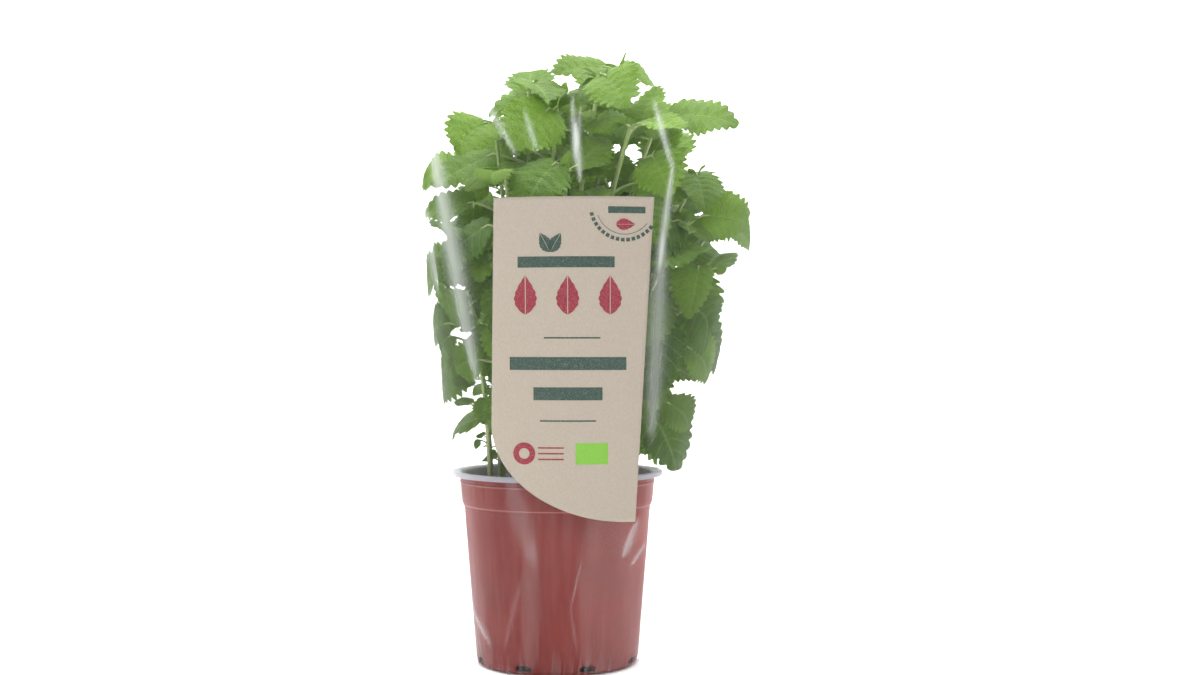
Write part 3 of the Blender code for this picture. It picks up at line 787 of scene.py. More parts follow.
class Nodes:
    """A short way to build a material's nodes."""

    def __init__(self, name):
        self.material = bpy.data.materials.new(name)
        self.material.use_nodes = True
        self.tree = self.material.node_tree
        self.tree.nodes.clear()
        self.out = self.tree.nodes.new("ShaderNodeOutputMaterial")

    def fill(self, socket, value):
        """Sets a socket to a value, or links it to another node's output."""
        if isinstance(value, bpy.types.NodeSocket):
            self.tree.links.new(value, socket)
        else:
            socket.default_value = value

    def add(self, kind, **values):
        """A node with these properties, and with inputs as in_ and their name or number."""
        made = self.tree.nodes.new(kind)
        for key, value in values.items():
            if key.startswith("in_"):
                rest = key[3:]
                self.fill(made.inputs[int(rest) if rest.isdigit() else rest.replace("_", " ")], value)
            else:
                setattr(made, key, value)
        return made

    def math(self, operation, a, b=0.0, clamp=False):
        """The output of a Math node."""
        return self.add("ShaderNodeMath", operation=operation, use_clamp=clamp, in_0=a, in_1=b).outputs[0]

    def mix(self, share, a, b):
        """The colour between a and b."""
        made = self.add("ShaderNodeMix", data_type="RGBA", in_0=share, in_6=a, in_7=b)
        return made.outputs[2]

    def stain(self, base, where, strength, colour):
        """The base colour with this share of another colour where the value is 1."""
        return self.mix(self.math("MULTIPLY", where, strength), base, colour)

    def noise(self, scale, detail=4.0, roughness=0.55, stretch=None):
        """The value of a noise texture in object space, with a stretch for each axis if given."""
        spot = self.place()
        if stretch:
            spot = self.scaled(spot, *stretch)
        form = {"in_Scale": scale, "in_Detail": detail, "in_Roughness": roughness}
        return self.add("ShaderNodeTexNoise", in_Vector=spot, **form).outputs[0]

    def place(self):
        """Object coordinates."""
        return self.add("ShaderNodeTexCoord").outputs["Object"]

    def height(self):
        """Height above the floor."""
        return self.add("ShaderNodeSeparateXYZ", in_0=self.place()).outputs[2]

    def tint(self):
        """The channels of the piece's tint."""
        tint = self.add("ShaderNodeAttribute", attribute_name="tint")
        return self.add("ShaderNodeSeparateColor", in_0=tint.outputs["Color"]).outputs

    def ramp(self, value, low, high):
        """The value mapped from low..high to 0..1."""
        return self.add("ShaderNodeMapRange", in_0=value, in_1=low, in_2=high).outputs[0]

    def scaled(self, vector, x, y, z):
        """The vector times a different number along each axis."""
        made = self.add("ShaderNodeVectorMath", operation="MULTIPLY", in_0=vector, in_1=(x, y, z))
        return made.outputs[0]

    def bump(self, height, distance, strength):
        """The normal that this height gives."""
        made = self.add("ShaderNodeBump", in_Height=height, in_Distance=distance, in_Strength=strength)
        return made.outputs[0]

    def shader(self, kind, **values):
        """The output of a shader node of this kind."""
        return self.add(f"ShaderNode{kind}", **values).outputs[0]

    def finish(self, shader):
        """Links the shader to the output and gives the material."""
        self.tree.links.new(shader, self.out.inputs["Surface"])
        return self.material


def rgb(red, green, blue):
    """A linear colour from the usual 0-255 values."""
    parts = []
    for value in (red, green, blue):
        share = value / 255
        parts.append(share / 12.92 if share <= 0.04045 else ((share + 0.055) / 1.055) ** 2.4)
    return (*parts, 1.0)


# Colours of the plant and the soil
LEAF_DARK = rgb(20, 58, 26)
LEAF_LIGHT = rgb(120, 158, 46)
LEAF_YOUNG = rgb(148, 184, 62)
LEAF_VEIN = rgb(150, 178, 98)
LEAF_NET = rgb(60, 96, 46)
LEAF_UNDERSIDE = rgb(124, 156, 96)
LEAF_GLOW = rgb(150, 196, 40)
STEM_DARK = rgb(134, 158, 92)
STEM_LIGHT = rgb(176, 191, 128)
STEM_LINE = rgb(108, 136, 74)
STEM_FOOT = rgb(126, 104, 70)
PEAT_DARK = rgb(24, 18, 13)
PEAT_LIGHT = rgb(70, 52, 38)
PEAT_FIBRE = rgb(120, 96, 70)

# Colours of the pot, the film, the label and the studio
TERRACOTTA = (rgb(116, 34, 29), rgb(134, 45, 38))
LAVENDER = (rgb(150, 148, 158), rgb(176, 174, 184))
POT_STREAK = rgb(176, 118, 110)
# Painted highlight along the pot's two ridges
POT_RIDGE_HIGHLIGHT = rgb(196, 150, 142)
FILM_CLEAR = (0.985, 0.99, 0.99, 1.0)
FILM_GRAZED = (0.78, 0.81, 0.84, 1.0)
FILM_GLOSS = (0.95, 0.96, 0.97, 1.0)
# White of the film's painted glare, also used for its whitened seams and haze
FILM_GLARE_AND_WHITENING = (0.90, 0.91, 0.92, 1.0)
PAPER_DARK = rgb(162, 152, 139)
PAPER_LIGHT = rgb(170, 160, 147)
PAPER_SPECK = rgb(146, 131, 112)
INK_WORN = rgb(186, 177, 160)
INK_GREEN = rgb(40, 66, 58)
INK_CRIMSON = rgb(132, 28, 50)
INK_FRESH = rgb(112, 170, 48)
STUDIO_DARK = (0.90, 0.90, 0.90, 1.0)
STUDIO_LIGHT = (0.93, 0.93, 0.93, 1.0)
WHITE = (1.0, 1.0, 1.0, 1.0)


def leaf_material():
    """Matt, quilted leaf: UVs hold the place on the blade, and the tint its tone with painted shade, and
    its youth.
    """
    n = Nodes("lemon_balm_leaf")
    uv = n.add("ShaderNodeUVMap", uv_map="blade").outputs[0]
    split = n.add("ShaderNodeSeparateXYZ", in_0=uv)
    along, side = split.outputs[0], split.outputs[1]
    across = n.math("ABSOLUTE", n.math("SUBTRACT", n.math("MULTIPLY", side, 2.0), 1.0))
    slanted = n.math("SUBTRACT", along, n.math("MULTIPLY", across, VEIN_SLANT))
    phase = n.math("MULTIPLY", n.math("SUBTRACT", slanted, VEIN_START), SIDE_VEINS)
    off_vein = n.math("ABSOLUTE", n.math("SUBTRACT", n.math("FRACT", phase), 0.5))
    vein = n.math("POWER", n.math("MULTIPLY", off_vein, 2.0), 12.0)
    rib = n.math("POWER", n.math("SUBTRACT", 1.0, across, clamp=True), 26.0)
    lines = n.math("MAXIMUM", n.math("MULTIPLY", vein, 0.70), rib, clamp=True)
    cell_spot = n.scaled(uv, 26.0, 22.0, 1.0)
    cells = n.add("ShaderNodeTexVoronoi", feature="DISTANCE_TO_EDGE", in_Scale=1.0, in_0=cell_spot)
    net = n.ramp(cells.outputs["Distance"], 0.0, 0.20)
    # Painted shade: the tint's first channel is a seeded tone, darkened for leaves inside the plant and
    # lower down
    shade, young = n.tint()[0:2]
    patches = n.ramp(n.noise(90.0, 3.0), 0.3, 0.7)
    tone = n.math("ADD", n.math("MULTIPLY", shade, 0.85), n.math("MULTIPLY", patches, 0.20), clamp=True)
    base = n.mix(tone, LEAF_DARK, LEAF_LIGHT)
    base = n.stain(base, young, 0.80, LEAF_YOUNG)
    base = n.stain(base, lines, 0.50, LEAF_VEIN)
    base = n.stain(base, n.math("SUBTRACT", 1.0, net), 0.30, LEAF_NET)
    base = n.stain(base, n.add("ShaderNodeNewGeometry").outputs["Backfacing"], 0.50, LEAF_UNDERSIDE)
    height = n.math("SUBTRACT", n.math("MULTIPLY", net, 0.8), n.math("MULTIPLY", lines, 0.9))
    height = n.math("ADD", height, n.math("MULTIPLY", n.noise(900.0, 3.0), 0.25))
    normal = n.bump(height, 0.00045, 0.85)
    skin = n.shader(
        "BsdfPrincipled",
        in_Base_Color=base,
        in_Roughness=0.52,
        in_Specular_IOR_Level=0.20,
        in_Sheen_Weight=0.015,
        in_Sheen_Roughness=0.45,
        in_Normal=normal,
    )
    glow = n.shader("BsdfTranslucent", in_Color=n.mix(0.45, base, LEAF_GLOW), in_Normal=normal)
    return n.finish(n.shader("MixShader", in_0=0.24, in_1=skin, in_2=glow))


def stem_material():
    """Pale green stem with faint lengthwise lines and a little red near the soil."""
    n = Nodes("lemon_balm_stem")
    lines = n.noise(1.0, 3.0, stretch=(1600.0, 1600.0, 60.0))
    tone = n.noise(60.0, 3.0)
    base = n.mix(n.ramp(tone, 0.3, 0.7), STEM_DARK, STEM_LIGHT)
    base = n.stain(base, n.ramp(lines, 0.45, 0.75), 0.30, STEM_LINE)
    low = n.ramp(n.height(), 0.135, 0.088)
    base = n.stain(base, n.math("MULTIPLY", low, tone), 0.8, STEM_FOOT)
    skin = n.shader(
        "BsdfPrincipled",
        in_Base_Color=base,
        in_Roughness=0.50,
        in_Specular_IOR_Level=0.40,
        in_Sheen_Weight=0.10,
        in_Normal=n.bump(lines, 0.00012, 0.7),
    )
    return n.finish(skin)


def soil_material():
    """Dark moist peat with paler fibres and specks."""
    n = Nodes("peat_soil")
    coarse, fine = n.noise(260.0, 6.0, 0.65), n.noise(1500.0, 4.0, 0.7)
    base = n.mix(n.ramp(coarse, 0.35, 0.68), PEAT_DARK, PEAT_LIGHT)
    skin = n.shader(
        "BsdfPrincipled",
        in_Base_Color=n.stain(base, n.ramp(fine, 0.62, 0.74), 0.5, PEAT_FIBRE),
        in_Roughness=0.92,
        in_Specular_IOR_Level=0.20,
        in_Normal=n.bump(n.math("ADD", coarse, n.math("MULTIPLY", fine, 0.4)), 0.0016, 0.9),
    )
    return n.finish(skin)


def pot_material(name, colours, roughness):
    """Thermoformed plastic: faint drawn streaks, broad mottling between two colours, and a painted
    highlight along the two ridges.
    """
    n = Nodes(name)
    streaks = n.noise(1.0, 3.0, stretch=(150.0, 150.0, 9.0))
    base = n.mix(n.ramp(n.noise(16.0, 3.0, 0.5), 0.34, 0.66), *colours)
    base = n.stain(base, n.ramp(streaks, 0.45, 0.75), 0.16, POT_STREAK)
    # Painted highlight: a paler colour along each ridge
    for ridge in RIDGE_HEIGHTS:
        off_ridge = n.math("ABSOLUTE", n.math("SUBTRACT", n.height(), ridge))
        base = n.stain(base, n.ramp(off_ridge, RIDGE_HALF, 0.0001), 0.35, POT_RIDGE_HIGHLIGHT)
    skin = n.shader(
        "BsdfPrincipled",
        in_Base_Color=base,
        in_Roughness=roughness,
        in_Specular_IOR_Level=0.26,
        in_Normal=n.bump(streaks, 0.0004, 0.5),
    )
    return n.finish(skin)


def film_material():
    """Clear film, glossiest at grazing angles: the tint holds painted reflection as white glare along its
    creases and over its crumpled foot, with the whitened side seams and a faint even haze.
    """
    n = Nodes("clear_film")
    normal = n.bump(n.noise(1.0, 3.0, 0.5, stretch=(34.0, 34.0, 6.0)), 0.004, 0.35)
    facing = n.add("ShaderNodeLayerWeight", in_Blend=0.32, in_Normal=normal).outputs["Facing"]
    fresnel = n.add("ShaderNodeFresnel", in_IOR=1.42, in_Normal=normal).outputs[0]
    rim = n.math("MULTIPLY", n.math("POWER", facing, 3.0), 0.24)
    gloss_share = n.math("ADD", n.math("MULTIPLY", fresnel, 0.40), rim, clamp=True)
    through = n.mix(n.math("POWER", facing, 5.0), FILM_CLEAR, FILM_GRAZED)
    clear = n.shader("BsdfTransparent", in_Color=through)
    gloss = n.shader("BsdfGlossy", in_Color=FILM_GLOSS, in_Roughness=0.06, in_Normal=normal)
    glare_and_whitening_diffuse = n.shader("BsdfDiffuse", in_Color=FILM_GLARE_AND_WHITENING)
    glow = n.shader("BsdfTranslucent", in_Color=FILM_GLARE_AND_WHITENING)
    white = n.shader("MixShader", in_0=0.45, in_1=glare_and_whitening_diffuse, in_2=glow)
    # Painted reflection: the tint mixes in white glare, with the whitened seams and haze
    veiled = n.shader("MixShader", in_0=n.tint()[0], in_1=clear, in_2=white)
    return n.finish(n.shader("MixShader", in_0=gloss_share, in_1=veiled, in_2=gloss))


def paper_material():
    """Recycled beige paper with fibres and small darker specks."""
    n = Nodes("label_paper")
    fibres = n.noise(1.0, 4.0, 0.7, stretch=(2400.0, 2400.0, 700.0))
    base = n.mix(n.ramp(fibres, 0.40, 0.62), PAPER_DARK, PAPER_LIGHT)
    skin = n.shader(
        "BsdfPrincipled",
        in_Base_Color=n.stain(base, n.ramp(n.noise(2600.0, 2.0), 0.66, 0.74), 0.30, PAPER_SPECK),
        in_Roughness=0.78,
        in_Specular_IOR_Level=0.30,
        in_Normal=n.bump(fibres, 0.00012, 0.5),
    )
    return n.finish(skin)


def ink_material(name, colour):
    """Ink on paper, a little uneven."""
    n = Nodes(name)
    base = n.stain(colour, n.ramp(n.noise(1600.0, 4.0, 0.7), 0.5, 0.8), 0.35, INK_WORN)
    return n.finish(n.shader("BsdfPrincipled", in_Base_Color=base, in_Roughness=0.66))


def stage_material():
    """White studio paper."""
    n = Nodes("studio_paper")
    base = n.mix(n.ramp(n.noise(18.0, 3.0), 0.2, 0.8), STUDIO_DARK, STUDIO_LIGHT)
    return n.finish(n.shader("BsdfPrincipled", in_Base_Color=base, in_Roughness=0.9))


def add_piece(name, points, faces, materials, smooth=True, spots=None, tints=None, slots=None):
    """A mesh object from points and faces, with UVs and tints a point, and a material slot a face."""
    mesh = bpy.data.meshes.new(name)
    mesh.from_pydata([tuple(point) for point in points], [], faces)
    for look in materials:
        mesh.materials.append(look)
    if slots:
        mesh.polygons.foreach_set("material_index", slots)
    if spots:
        layer = mesh.uv_layers.new(name="blade")
        flat = []
        for loop in mesh.loops:
            flat += spots[loop.vertex_index]
        layer.data.foreach_set("uv", flat)
    if tints:
        colours = mesh.color_attributes.new("tint", "FLOAT_COLOR", "POINT")
        colours.data.foreach_set("color", [value for tint in tints for value in tint])
    if smooth:
        mesh.shade_smooth()
    mesh.validate()
    made = bpy.data.objects.new(name, mesh)
    bpy.context.scene.collection.objects.link(made)
    return made


def grid_faces(rows, columns, first=0, closed=False, turned=False):
    """Quads between rows of points: closed rows run all round, turned quads face the other way."""
    faces = []
    for row in range(rows - 1):
        low = first + row * columns
        high = low + columns
        for k in range(columns if closed else columns - 1):
            after = (k + 1) % columns
            if turned:
                faces.append((low + k, high + k, high + after, low + after))
            else:
                faces.append((low + k, low + after, high + after, high + k))
    return faces


def ring_points(radius, height, sides):
    """Points of a level ring round the pot's axis."""
    angles = [2 * math.pi * k / sides for k in range(sides)]
    return [(radius * math.cos(angle), radius * math.sin(angle), height) for angle in angles]


def fine_tooth(along):
    """How far out the toothed edge is, from 0 in a notch to 1 on a tooth, which leans to the tip."""
    phase = (FINE_TEETH * along) % 1
    if phase < FINE_TOOTH_PEAK:
        return math.sin(0.5 * math.pi * phase / FINE_TOOTH_PEAK)
    return math.cos(0.5 * math.pi * (phase - FINE_TOOTH_PEAK) / (1 - FINE_TOOTH_PEAK))


def fine_outline(along):
    """The blade's half width with rounded teeth, as a share of the greatest one."""
    smooth = blade_form(along)
    return smooth - FINE_TOOTH_DEPTH * (1 - fine_tooth(along)) * min(1, 2 * smooth)


def soft_outline(along):
    """The same half width with its teeth evened out."""
    smooth = blade_form(along)
    return smooth - 0.5 * FINE_TOOTH_DEPTH * min(1, 2 * smooth)


def pucker(along, across):
    """Height of the quilted blade between its veins, from -1 in a vein to 1 on a cushion."""
    side = abs(across)
    phase = (along - VEIN_SLANT * side - VEIN_START) * SIDE_VEINS
    cushion = abs(math.sin(math.pi * (phase - 0.5))) ** 0.7
    rib = 1 - math.exp(-side * 14)
    rim = 1 - side**6
    return (1.6 * cushion - 0.8) * rib * rim * min(1, 6 * along) * min(1, 5 * (1 - along))


class Sheets:
    """Points, faces, UVs and tints that grow leaf by leaf into one piece."""

    def __init__(self):
        self.points, self.faces, self.spots, self.tints, self.slots = [], [], [], [], []

    def add_point(self, point, spot, tint):
        """One more point."""
        self.points.append(point)
        self.spots.append(spot)
        self.tints.append(tint)

    def add_faces(self, faces, slot):
        """More faces of one material slot."""
        self.faces += faces
        self.slots += [slot] * len(faces)

    def add_tube(self, centres, radii, sides, tint, square=False):
        """A closed tube along these centres, in the stem's material."""
        first, count = len(self.points), len(centres)
        guide = RIGHT if abs((centres[-1] - centres[0]).normalized().z) > 0.5 else UP
        for k, centre in enumerate(centres):
            tangent = centres[min(k + 1, count - 1)] - centres[max(k - 1, 0)]
            tangent.normalize()
            across = tangent.cross(guide).normalized()
            towards = across.cross(tangent)
            for j in range(sides):
                angle = 2 * math.pi * j / sides
                r = radii[k]
                if square:
                    r *= 1 + STEM_CORNER * math.cos(2 * angle) ** 2
                spoke = towards * math.cos(angle) * r + across * math.sin(angle) * r
                self.add_point(centre + spoke, (k / count, j / sides), tint)
        last = first + (count - 1) * sides
        caps = [tuple(reversed(range(first, first + sides))), tuple(range(last, last + sides))]
        self.add_faces(grid_faces(count, sides, first, closed=True) + caps, 1)

    def add_blade(self, leaf, steps, side_steps, tint):
        """The fine blade of one leaf as a single curved sheet, in the leaf's material."""
        first, scale = len(self.points), leaf["length"] / LEAF_LENGTH
        for i in range(steps + 1):
            along = i / steps
            for j in range(-side_steps, side_steps + 1):
                across = math.sin(0.5 * math.pi * j / side_steps)
                edge = abs(across) ** 5
                half_share = soft_outline(along) * (1 - edge) + fine_outline(along) * edge
                half = 0.5 * leaf["width"] * half_share
                half = max(half, 0.4 * PETIOLE_WIDTH * (1 - along) ** 20)
                reach = along + FINE_TOOTH_LEAN * fine_tooth(along) * edge * (1 if 0 < i < steps else 0)
                height = PUCKER_HEIGHT * scale * pucker(along, across)
                height -= RIB_GROOVE * scale * math.exp(-((across * 9) ** 2)) * min(1, 8 * (1 - along))
                point = blade_place(leaf, min(reach, 1.0), across, half, height)
                self.add_point(point, (along, 0.5 + 0.5 * across), tint)
        self.add_faces(grid_faces(steps + 1, 2 * side_steps + 1, first, turned=True), 0)

    def add_leaf(self, leaf, steps, side_steps, young):
        """A fine leaf with its stalk."""
        tint = (leaf_tone_with_painted_shade(leaf), young, 0.0, 1.0)
        self.add_blade(leaf, steps, side_steps, tint)
        centres = [petiole_point(leaf, k / STALK_STEPS) for k in range(STALK_STEPS + 1)]
        centres.append(blade_place(leaf, STALK_END, 0, 0))
        thick = 0.5 * PETIOLE_WIDTH * (0.55 + 0.45 * leaf["length"] / LEAF_LENGTH)
        radii = [thick * (1 - 0.25 * k / STALK_STEPS) for k in range(STALK_STEPS + 1)]
        radii.append(0.25 * thick)
        self.add_tube(centres, radii, STALK_SIDES, tint)


def leaf_tone_with_painted_shade(leaf):
    """How light the leaf's green is, from 0 to 1: a seeded tone with painted shade, darkest for leaves
    inside and lower down, lightest for those outside and high up.
    """
    middle = blade_place(leaf, 0.5, 0, 0)
    wide, deep = film_half_widths(middle.z)
    centre = film_centre(middle.z)
    outer = math.hypot((middle.x - centre.x) / wide, (middle.y - centre.y) / deep)
    high = (middle.z - SHADE_LOW) / (SHADE_HIGH - SHADE_LOW)
    outer *= SHADE_OUTER + (1 - SHADE_OUTER) * high
    # Painted light and shade: lighter outside and high up, darker inside and lower down
    light = max(outer - SHADE_INNER, high - 0.4 * (1 - outer)) / (1 - SHADE_INNER)
    return min(1.0, max(0.0, SHADE_CHANCE * leaf["seed"] + (1 - SHADE_CHANCE) * light))


def make_leafy_stem(stem, looks):
    """The fine piece of one leafy stem."""
    sheets = Sheets()
    shares = [k / FINE_STEM_STEPS for k in range(FINE_STEM_STEPS + 1)]
    centres = [stem_point(stem, t) for t in shares]
    radii = [FINE_STEM_SWELL * stem_half_width(t) for t in shares]
    tint = (stem["turn"] / math.pi, 0.0, 0.0, 1.0)
    sheets.add_tube(centres, radii, FINE_STEM_SIDES, tint, square=True)
    for leaf in stem["leaves"]:
        young = SHORT_YOUTH if leaf["length"] < SHORT_LEAF else 0.0
        sheets.add_leaf(leaf, BLADE_STEPS, BLADE_SIDE_STEPS, young)
    for leaf in stem["small"]:
        young = SMALL_YOUTH - 0.5 * leaf["length"] / LEAF_LENGTH
        sheets.add_leaf(leaf, SMALL_BLADE_STEPS, SMALL_BLADE_SIDE_STEPS, young)
    for leaf in stem["buds"]:
        sheets.add_leaf(leaf, BUD_BLADE_STEPS, SMALL_BLADE_SIDE_STEPS, BUD_YOUTH)
    name = f"leafy_stem_{stem['index'] + 1:02d}"
    attributes = {"spots": sheets.spots, "tints": sheets.tints, "slots": sheets.slots}
    made = add_piece(f"fine_{name}", sheets.points, sheets.faces, looks, **attributes)
    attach(made, "root")
    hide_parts(name)


def pot_wall_radius(height):
    """Outer radius of the pot's body."""
    taper = (POT_BODY_TOP_RADIUS - POT_BASE_RADIUS) / POT_HEIGHT
    return POT_BASE_RADIUS + taper * height


def arc(centre, radius, start, end, steps):
    """Points of an arc in the profile's plane."""
    points = []
    for k in range(steps + 1):
        angle = math.radians(start + (end - start) * k / steps)
        points.append((centre[0] + radius * math.cos(angle), centre[1] + radius * math.sin(angle)))
    return points


def outer_radius(height):
    """Outer radius of the fine pot, with its two ridges and its collar."""
    collar = POT_HEIGHT - POT_COLLAR_DEPTH
    step = 1 / (1 + math.exp(-(height - collar - COLLAR_START) / COLLAR_BLEND))
    r = pot_wall_radius(height) + POT_COLLAR_STEP * step
    for ridge in RIDGE_HEIGHTS:
        r += RIDGE_HEIGHT * math.exp(-(((height - ridge) / RIDGE_HALF) ** 2))
    return r


def pot_profiles():
    """(radius, height) points up the inside of the pot and over its rim, and down its outside."""
    under_rim = POT_HEIGHT - POT_RIM_DEPTH
    lip = POT_WALL / 2
    inside = [(POT_AXIS, POT_WALL), (POT_BASE_RADIUS - POT_BASE_BEVEL - POT_WALL / 2, POT_WALL)]
    heights = [POT_BASE_BEVEL + POT_WALL / 2 + k * INSIDE_ROW for k in range(INSIDE_ROWS)]
    inside += [(outer_radius(z) - POT_WALL, z) for z in heights if z < POT_HEIGHT - INSIDE_TOP]
    top = outer_radius(POT_HEIGHT - 0.0010)
    inside += arc((top + 0.0010, POT_HEIGHT - RIM_FILLET), RIM_FILLET, 180, 95, 8)
    inside += arc((POT_RIM_RADIUS - lip, POT_HEIGHT - lip), lip, 90, 0, 4)
    inside += arc((POT_RIM_RADIUS - lip, under_rim + lip), lip, 0, -180, 8)
    corner = (top + RIM_UNDER_FILLET, POT_HEIGHT - POT_WALL - RIM_UNDER_FILLET)
    outside = arc(corner, RIM_UNDER_FILLET, 90, 180, 6)
    under_collar = under_rim - COLLAR_ROWS * COLLAR_ROW
    heights = [under_rim - k * COLLAR_ROW for k in range(COLLAR_ROWS)]
    heights += [under_collar - k * BODY_ROW for k in range(BODY_ROWS)]
    outside += [(outer_radius(z), z) for z in heights if z > POT_BASE_BEVEL]
    outside += arc((POT_BASE_RADIUS - POT_BASE_BEVEL, POT_BASE_BEVEL), POT_BASE_BEVEL, 0, -90, 8)
    return inside, outside + [(POT_AXIS, 0.0)]


def make_pot_piece(outside_look, inside_look):
    """The pot as a fine turned shell with a rolled rim, ridges and cut drainage slots."""
    inside, outside = pot_profiles()
    points = []
    for r, z in inside + outside:
        for k in range(FINE_POT_SIDES):
            angle = 2 * math.pi * k / FINE_POT_SIDES
            wobble = 1 + POT_WOBBLE * math.sin(3 * angle + 0.7) * min(1, z / WOBBLE_FULL)
            points.append((r * wobble * math.cos(angle), r * wobble * math.sin(angle), z))
    rows = len(inside) + len(outside)
    last = (rows - 1) * FINE_POT_SIDES
    faces = grid_faces(rows, FINE_POT_SIDES, closed=True, turned=True)
    faces.append(tuple(range(FINE_POT_SIDES)))
    faces.append(tuple(reversed(range(last, last + FINE_POT_SIDES))))
    slots = [1] * len(inside) * FINE_POT_SIDES + [0] * (len(outside) - 1) * FINE_POT_SIDES + [1, 0]
    pot = add_piece("fine_pot", points, faces, [outside_look, inside_look], slots=slots)
    cut_slots(pot)
    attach(pot, "root")
    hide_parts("pot")


def rounded(share, power):
    """The share raised to a power with its sign kept."""
    return math.copysign(abs(share) ** power, share)


def cut_slots(pot):
    """Cuts the drainage slots through the pot's lower corner."""
    points, faces = [], []
    for k in range(SLOT_COUNT):
        angle = (k + 0.5) * 2 * math.pi / SLOT_COUNT
        out = Vector((math.cos(angle), math.sin(angle), 0))
        across = Vector((-out.y, out.x, 0))
        first = len(points)
        outline = []
        for j in range(SLOT_SIDES):
            turn = 2 * math.pi * j / SLOT_SIDES
            x = 0.5 * SLOT_WIDTH * rounded(math.cos(turn), SLOT_END_ROUNDNESS)
            z = 0.5 * SLOT_HEIGHT * rounded(math.sin(turn), SLOT_EDGE_ROUNDNESS)
            outline.append((x, z + SLOT_BOTTOM + SLOT_HEIGHT / 2))
        for reach in (POT_BASE_RADIUS - 0.5 * SLOT_DEPTH, POT_BASE_RADIUS + 0.5 * SLOT_DEPTH):
            points += [out * reach + across * x + UP * z for x, z in outline]
        faces += grid_faces(2, SLOT_SIDES, first, closed=True)
        faces.append(tuple(reversed(range(first, first + SLOT_SIDES))))
        faces.append(tuple(range(first + SLOT_SIDES, first + 2 * SLOT_SIDES)))
    cutter = add_piece("slot_cutter", points, faces, [], smooth=False)
    work = bmesh.new()
    work.from_mesh(cutter.data)
    bmesh.ops.recalc_face_normals(work, faces=work.faces)
    work.to_mesh(cutter.data)
    work.free()
    cut = pot.modifiers.new("slots", "BOOLEAN")
    cut.operation = "DIFFERENCE"
    cut.solver = "EXACT"
    cut.object = cutter
    bpy.context.view_layer.update()
    graph = bpy.context.evaluated_depsgraph_get()
    mesh = bpy.data.meshes.new_from_object(pot.evaluated_get(graph))
    pot.modifiers.clear()
    pot.data = mesh
    bpy.data.objects.remove(cutter)


def soil_height(x, y):
    """Height of the loose soil's surface."""
    share = math.hypot(x, y) / POT_BODY_TOP_RADIUS
    rough = noise.fractal(Vector((x * SOIL_GRAIN, y * SOIL_GRAIN, 3.1)), 0.7, 2.2, 5)
    return SOIL_LEVEL + SOIL_CROWN * (1 - share**2) + SOIL_RELIEF * rough


def make_soil_piece(look):
    """Loose soil with crumbs on it."""
    collar = POT_HEIGHT - POT_COLLAR_DEPTH
    inner = pot_wall_radius(SOIL_LEVEL) + POT_COLLAR_STEP - POT_WALL - GAP
    points = [(0, 0, soil_height(0, 0))]
    for ring in range(1, SOIL_RINGS + 1):
        level = ring_points(inner * ring / SOIL_RINGS, 0, SOIL_SIDES)
        points += [(x, y, soil_height(x, y)) for x, y, _ in level]
    below = [
        (pot_wall_radius(collar) - POT_WALL - GAP, collar - 0.001),
        (pot_wall_radius(POT_BASE_BEVEL) - POT_WALL - 2 * GAP, POT_BASE_BEVEL + 2 * GAP),
        (POT_BASE_RADIUS - POT_BASE_BEVEL - POT_WALL - 2 * GAP, POT_WALL + GAP),
        (0.001, POT_WALL + GAP),
    ]
    for r, z in below:
        points += ring_points(r, z, SOIL_SIDES)
    faces = [(0, 1 + k, 1 + (k + 1) % SOIL_SIDES) for k in range(SOIL_SIDES)]
    faces += grid_faces(SOIL_RINGS + len(below), SOIL_SIDES, 1, closed=True, turned=True)
    rng = random.Random(SEED)
    for _ in range(SOIL_CRUMBS):
        angle, r = rng.uniform(0, 2 * math.pi), inner * 0.985 * math.sqrt(rng.random())
        x, y = r * math.cos(angle), r * math.sin(angle)
        size = rng.uniform(*SOIL_CRUMB_SIZES)
        add_crumb(points, faces, Vector((x, y, soil_height(x, y) + 0.2 * size)), size, rng)
    soil = add_piece("fine_soil", points, faces, [look])
    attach(soil, "root")
    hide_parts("soil")


def add_crumb(points, faces, centre, size, rng):
    """A small lump: an uneven double pyramid."""
    first = len(points)
    stretch = [rng.uniform(0.6, 1.4) for _ in range(3)]
    for k in range(CRUMB_SIDES):
        angle = 2 * math.pi * k / CRUMB_SIDES + rng.uniform(-0.3, 0.3)
        r = size * rng.uniform(0.7, 1.1)
        x, y = r * stretch[0] * math.cos(angle), r * stretch[1] * math.sin(angle)
        points.append((centre.x + x, centre.y + y, centre.z + size * rng.uniform(-0.3, 0.3)))
    points.append((centre.x, centre.y, centre.z + size * stretch[2]))
    points.append((centre.x, centre.y, centre.z - size))
    for k in range(CRUMB_SIDES):
        after = (k + 1) % CRUMB_SIDES
        faces.append((first + k, first + after, first + CRUMB_SIDES))
        faces.append((first + after, first + k, first + CRUMB_SIDES + 1))


def make_foot_crumbs(look):
    """Crumbs of soil caught between the pot's lower corner and the film."""
    rng = random.Random(SEED + 9)
    points, faces = [], []
    for _ in range(FOOT_CRUMBS):
        angle, size = rng.uniform(0, 2 * math.pi), rng.uniform(*FOOT_CRUMB_SIZES)
        out = Vector((math.cos(angle), math.sin(angle), 0))
        centre = out * (FILM_FOOT_RADIUS - 1.5 * size) + UP * rng.uniform(1.2 * size, FOOT_CRUMB_TOP)
        add_crumb(points, faces, centre, size, rng)
    crumbs = add_piece("foot_crumbs", points, faces, [look])
    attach(crumbs, "root")


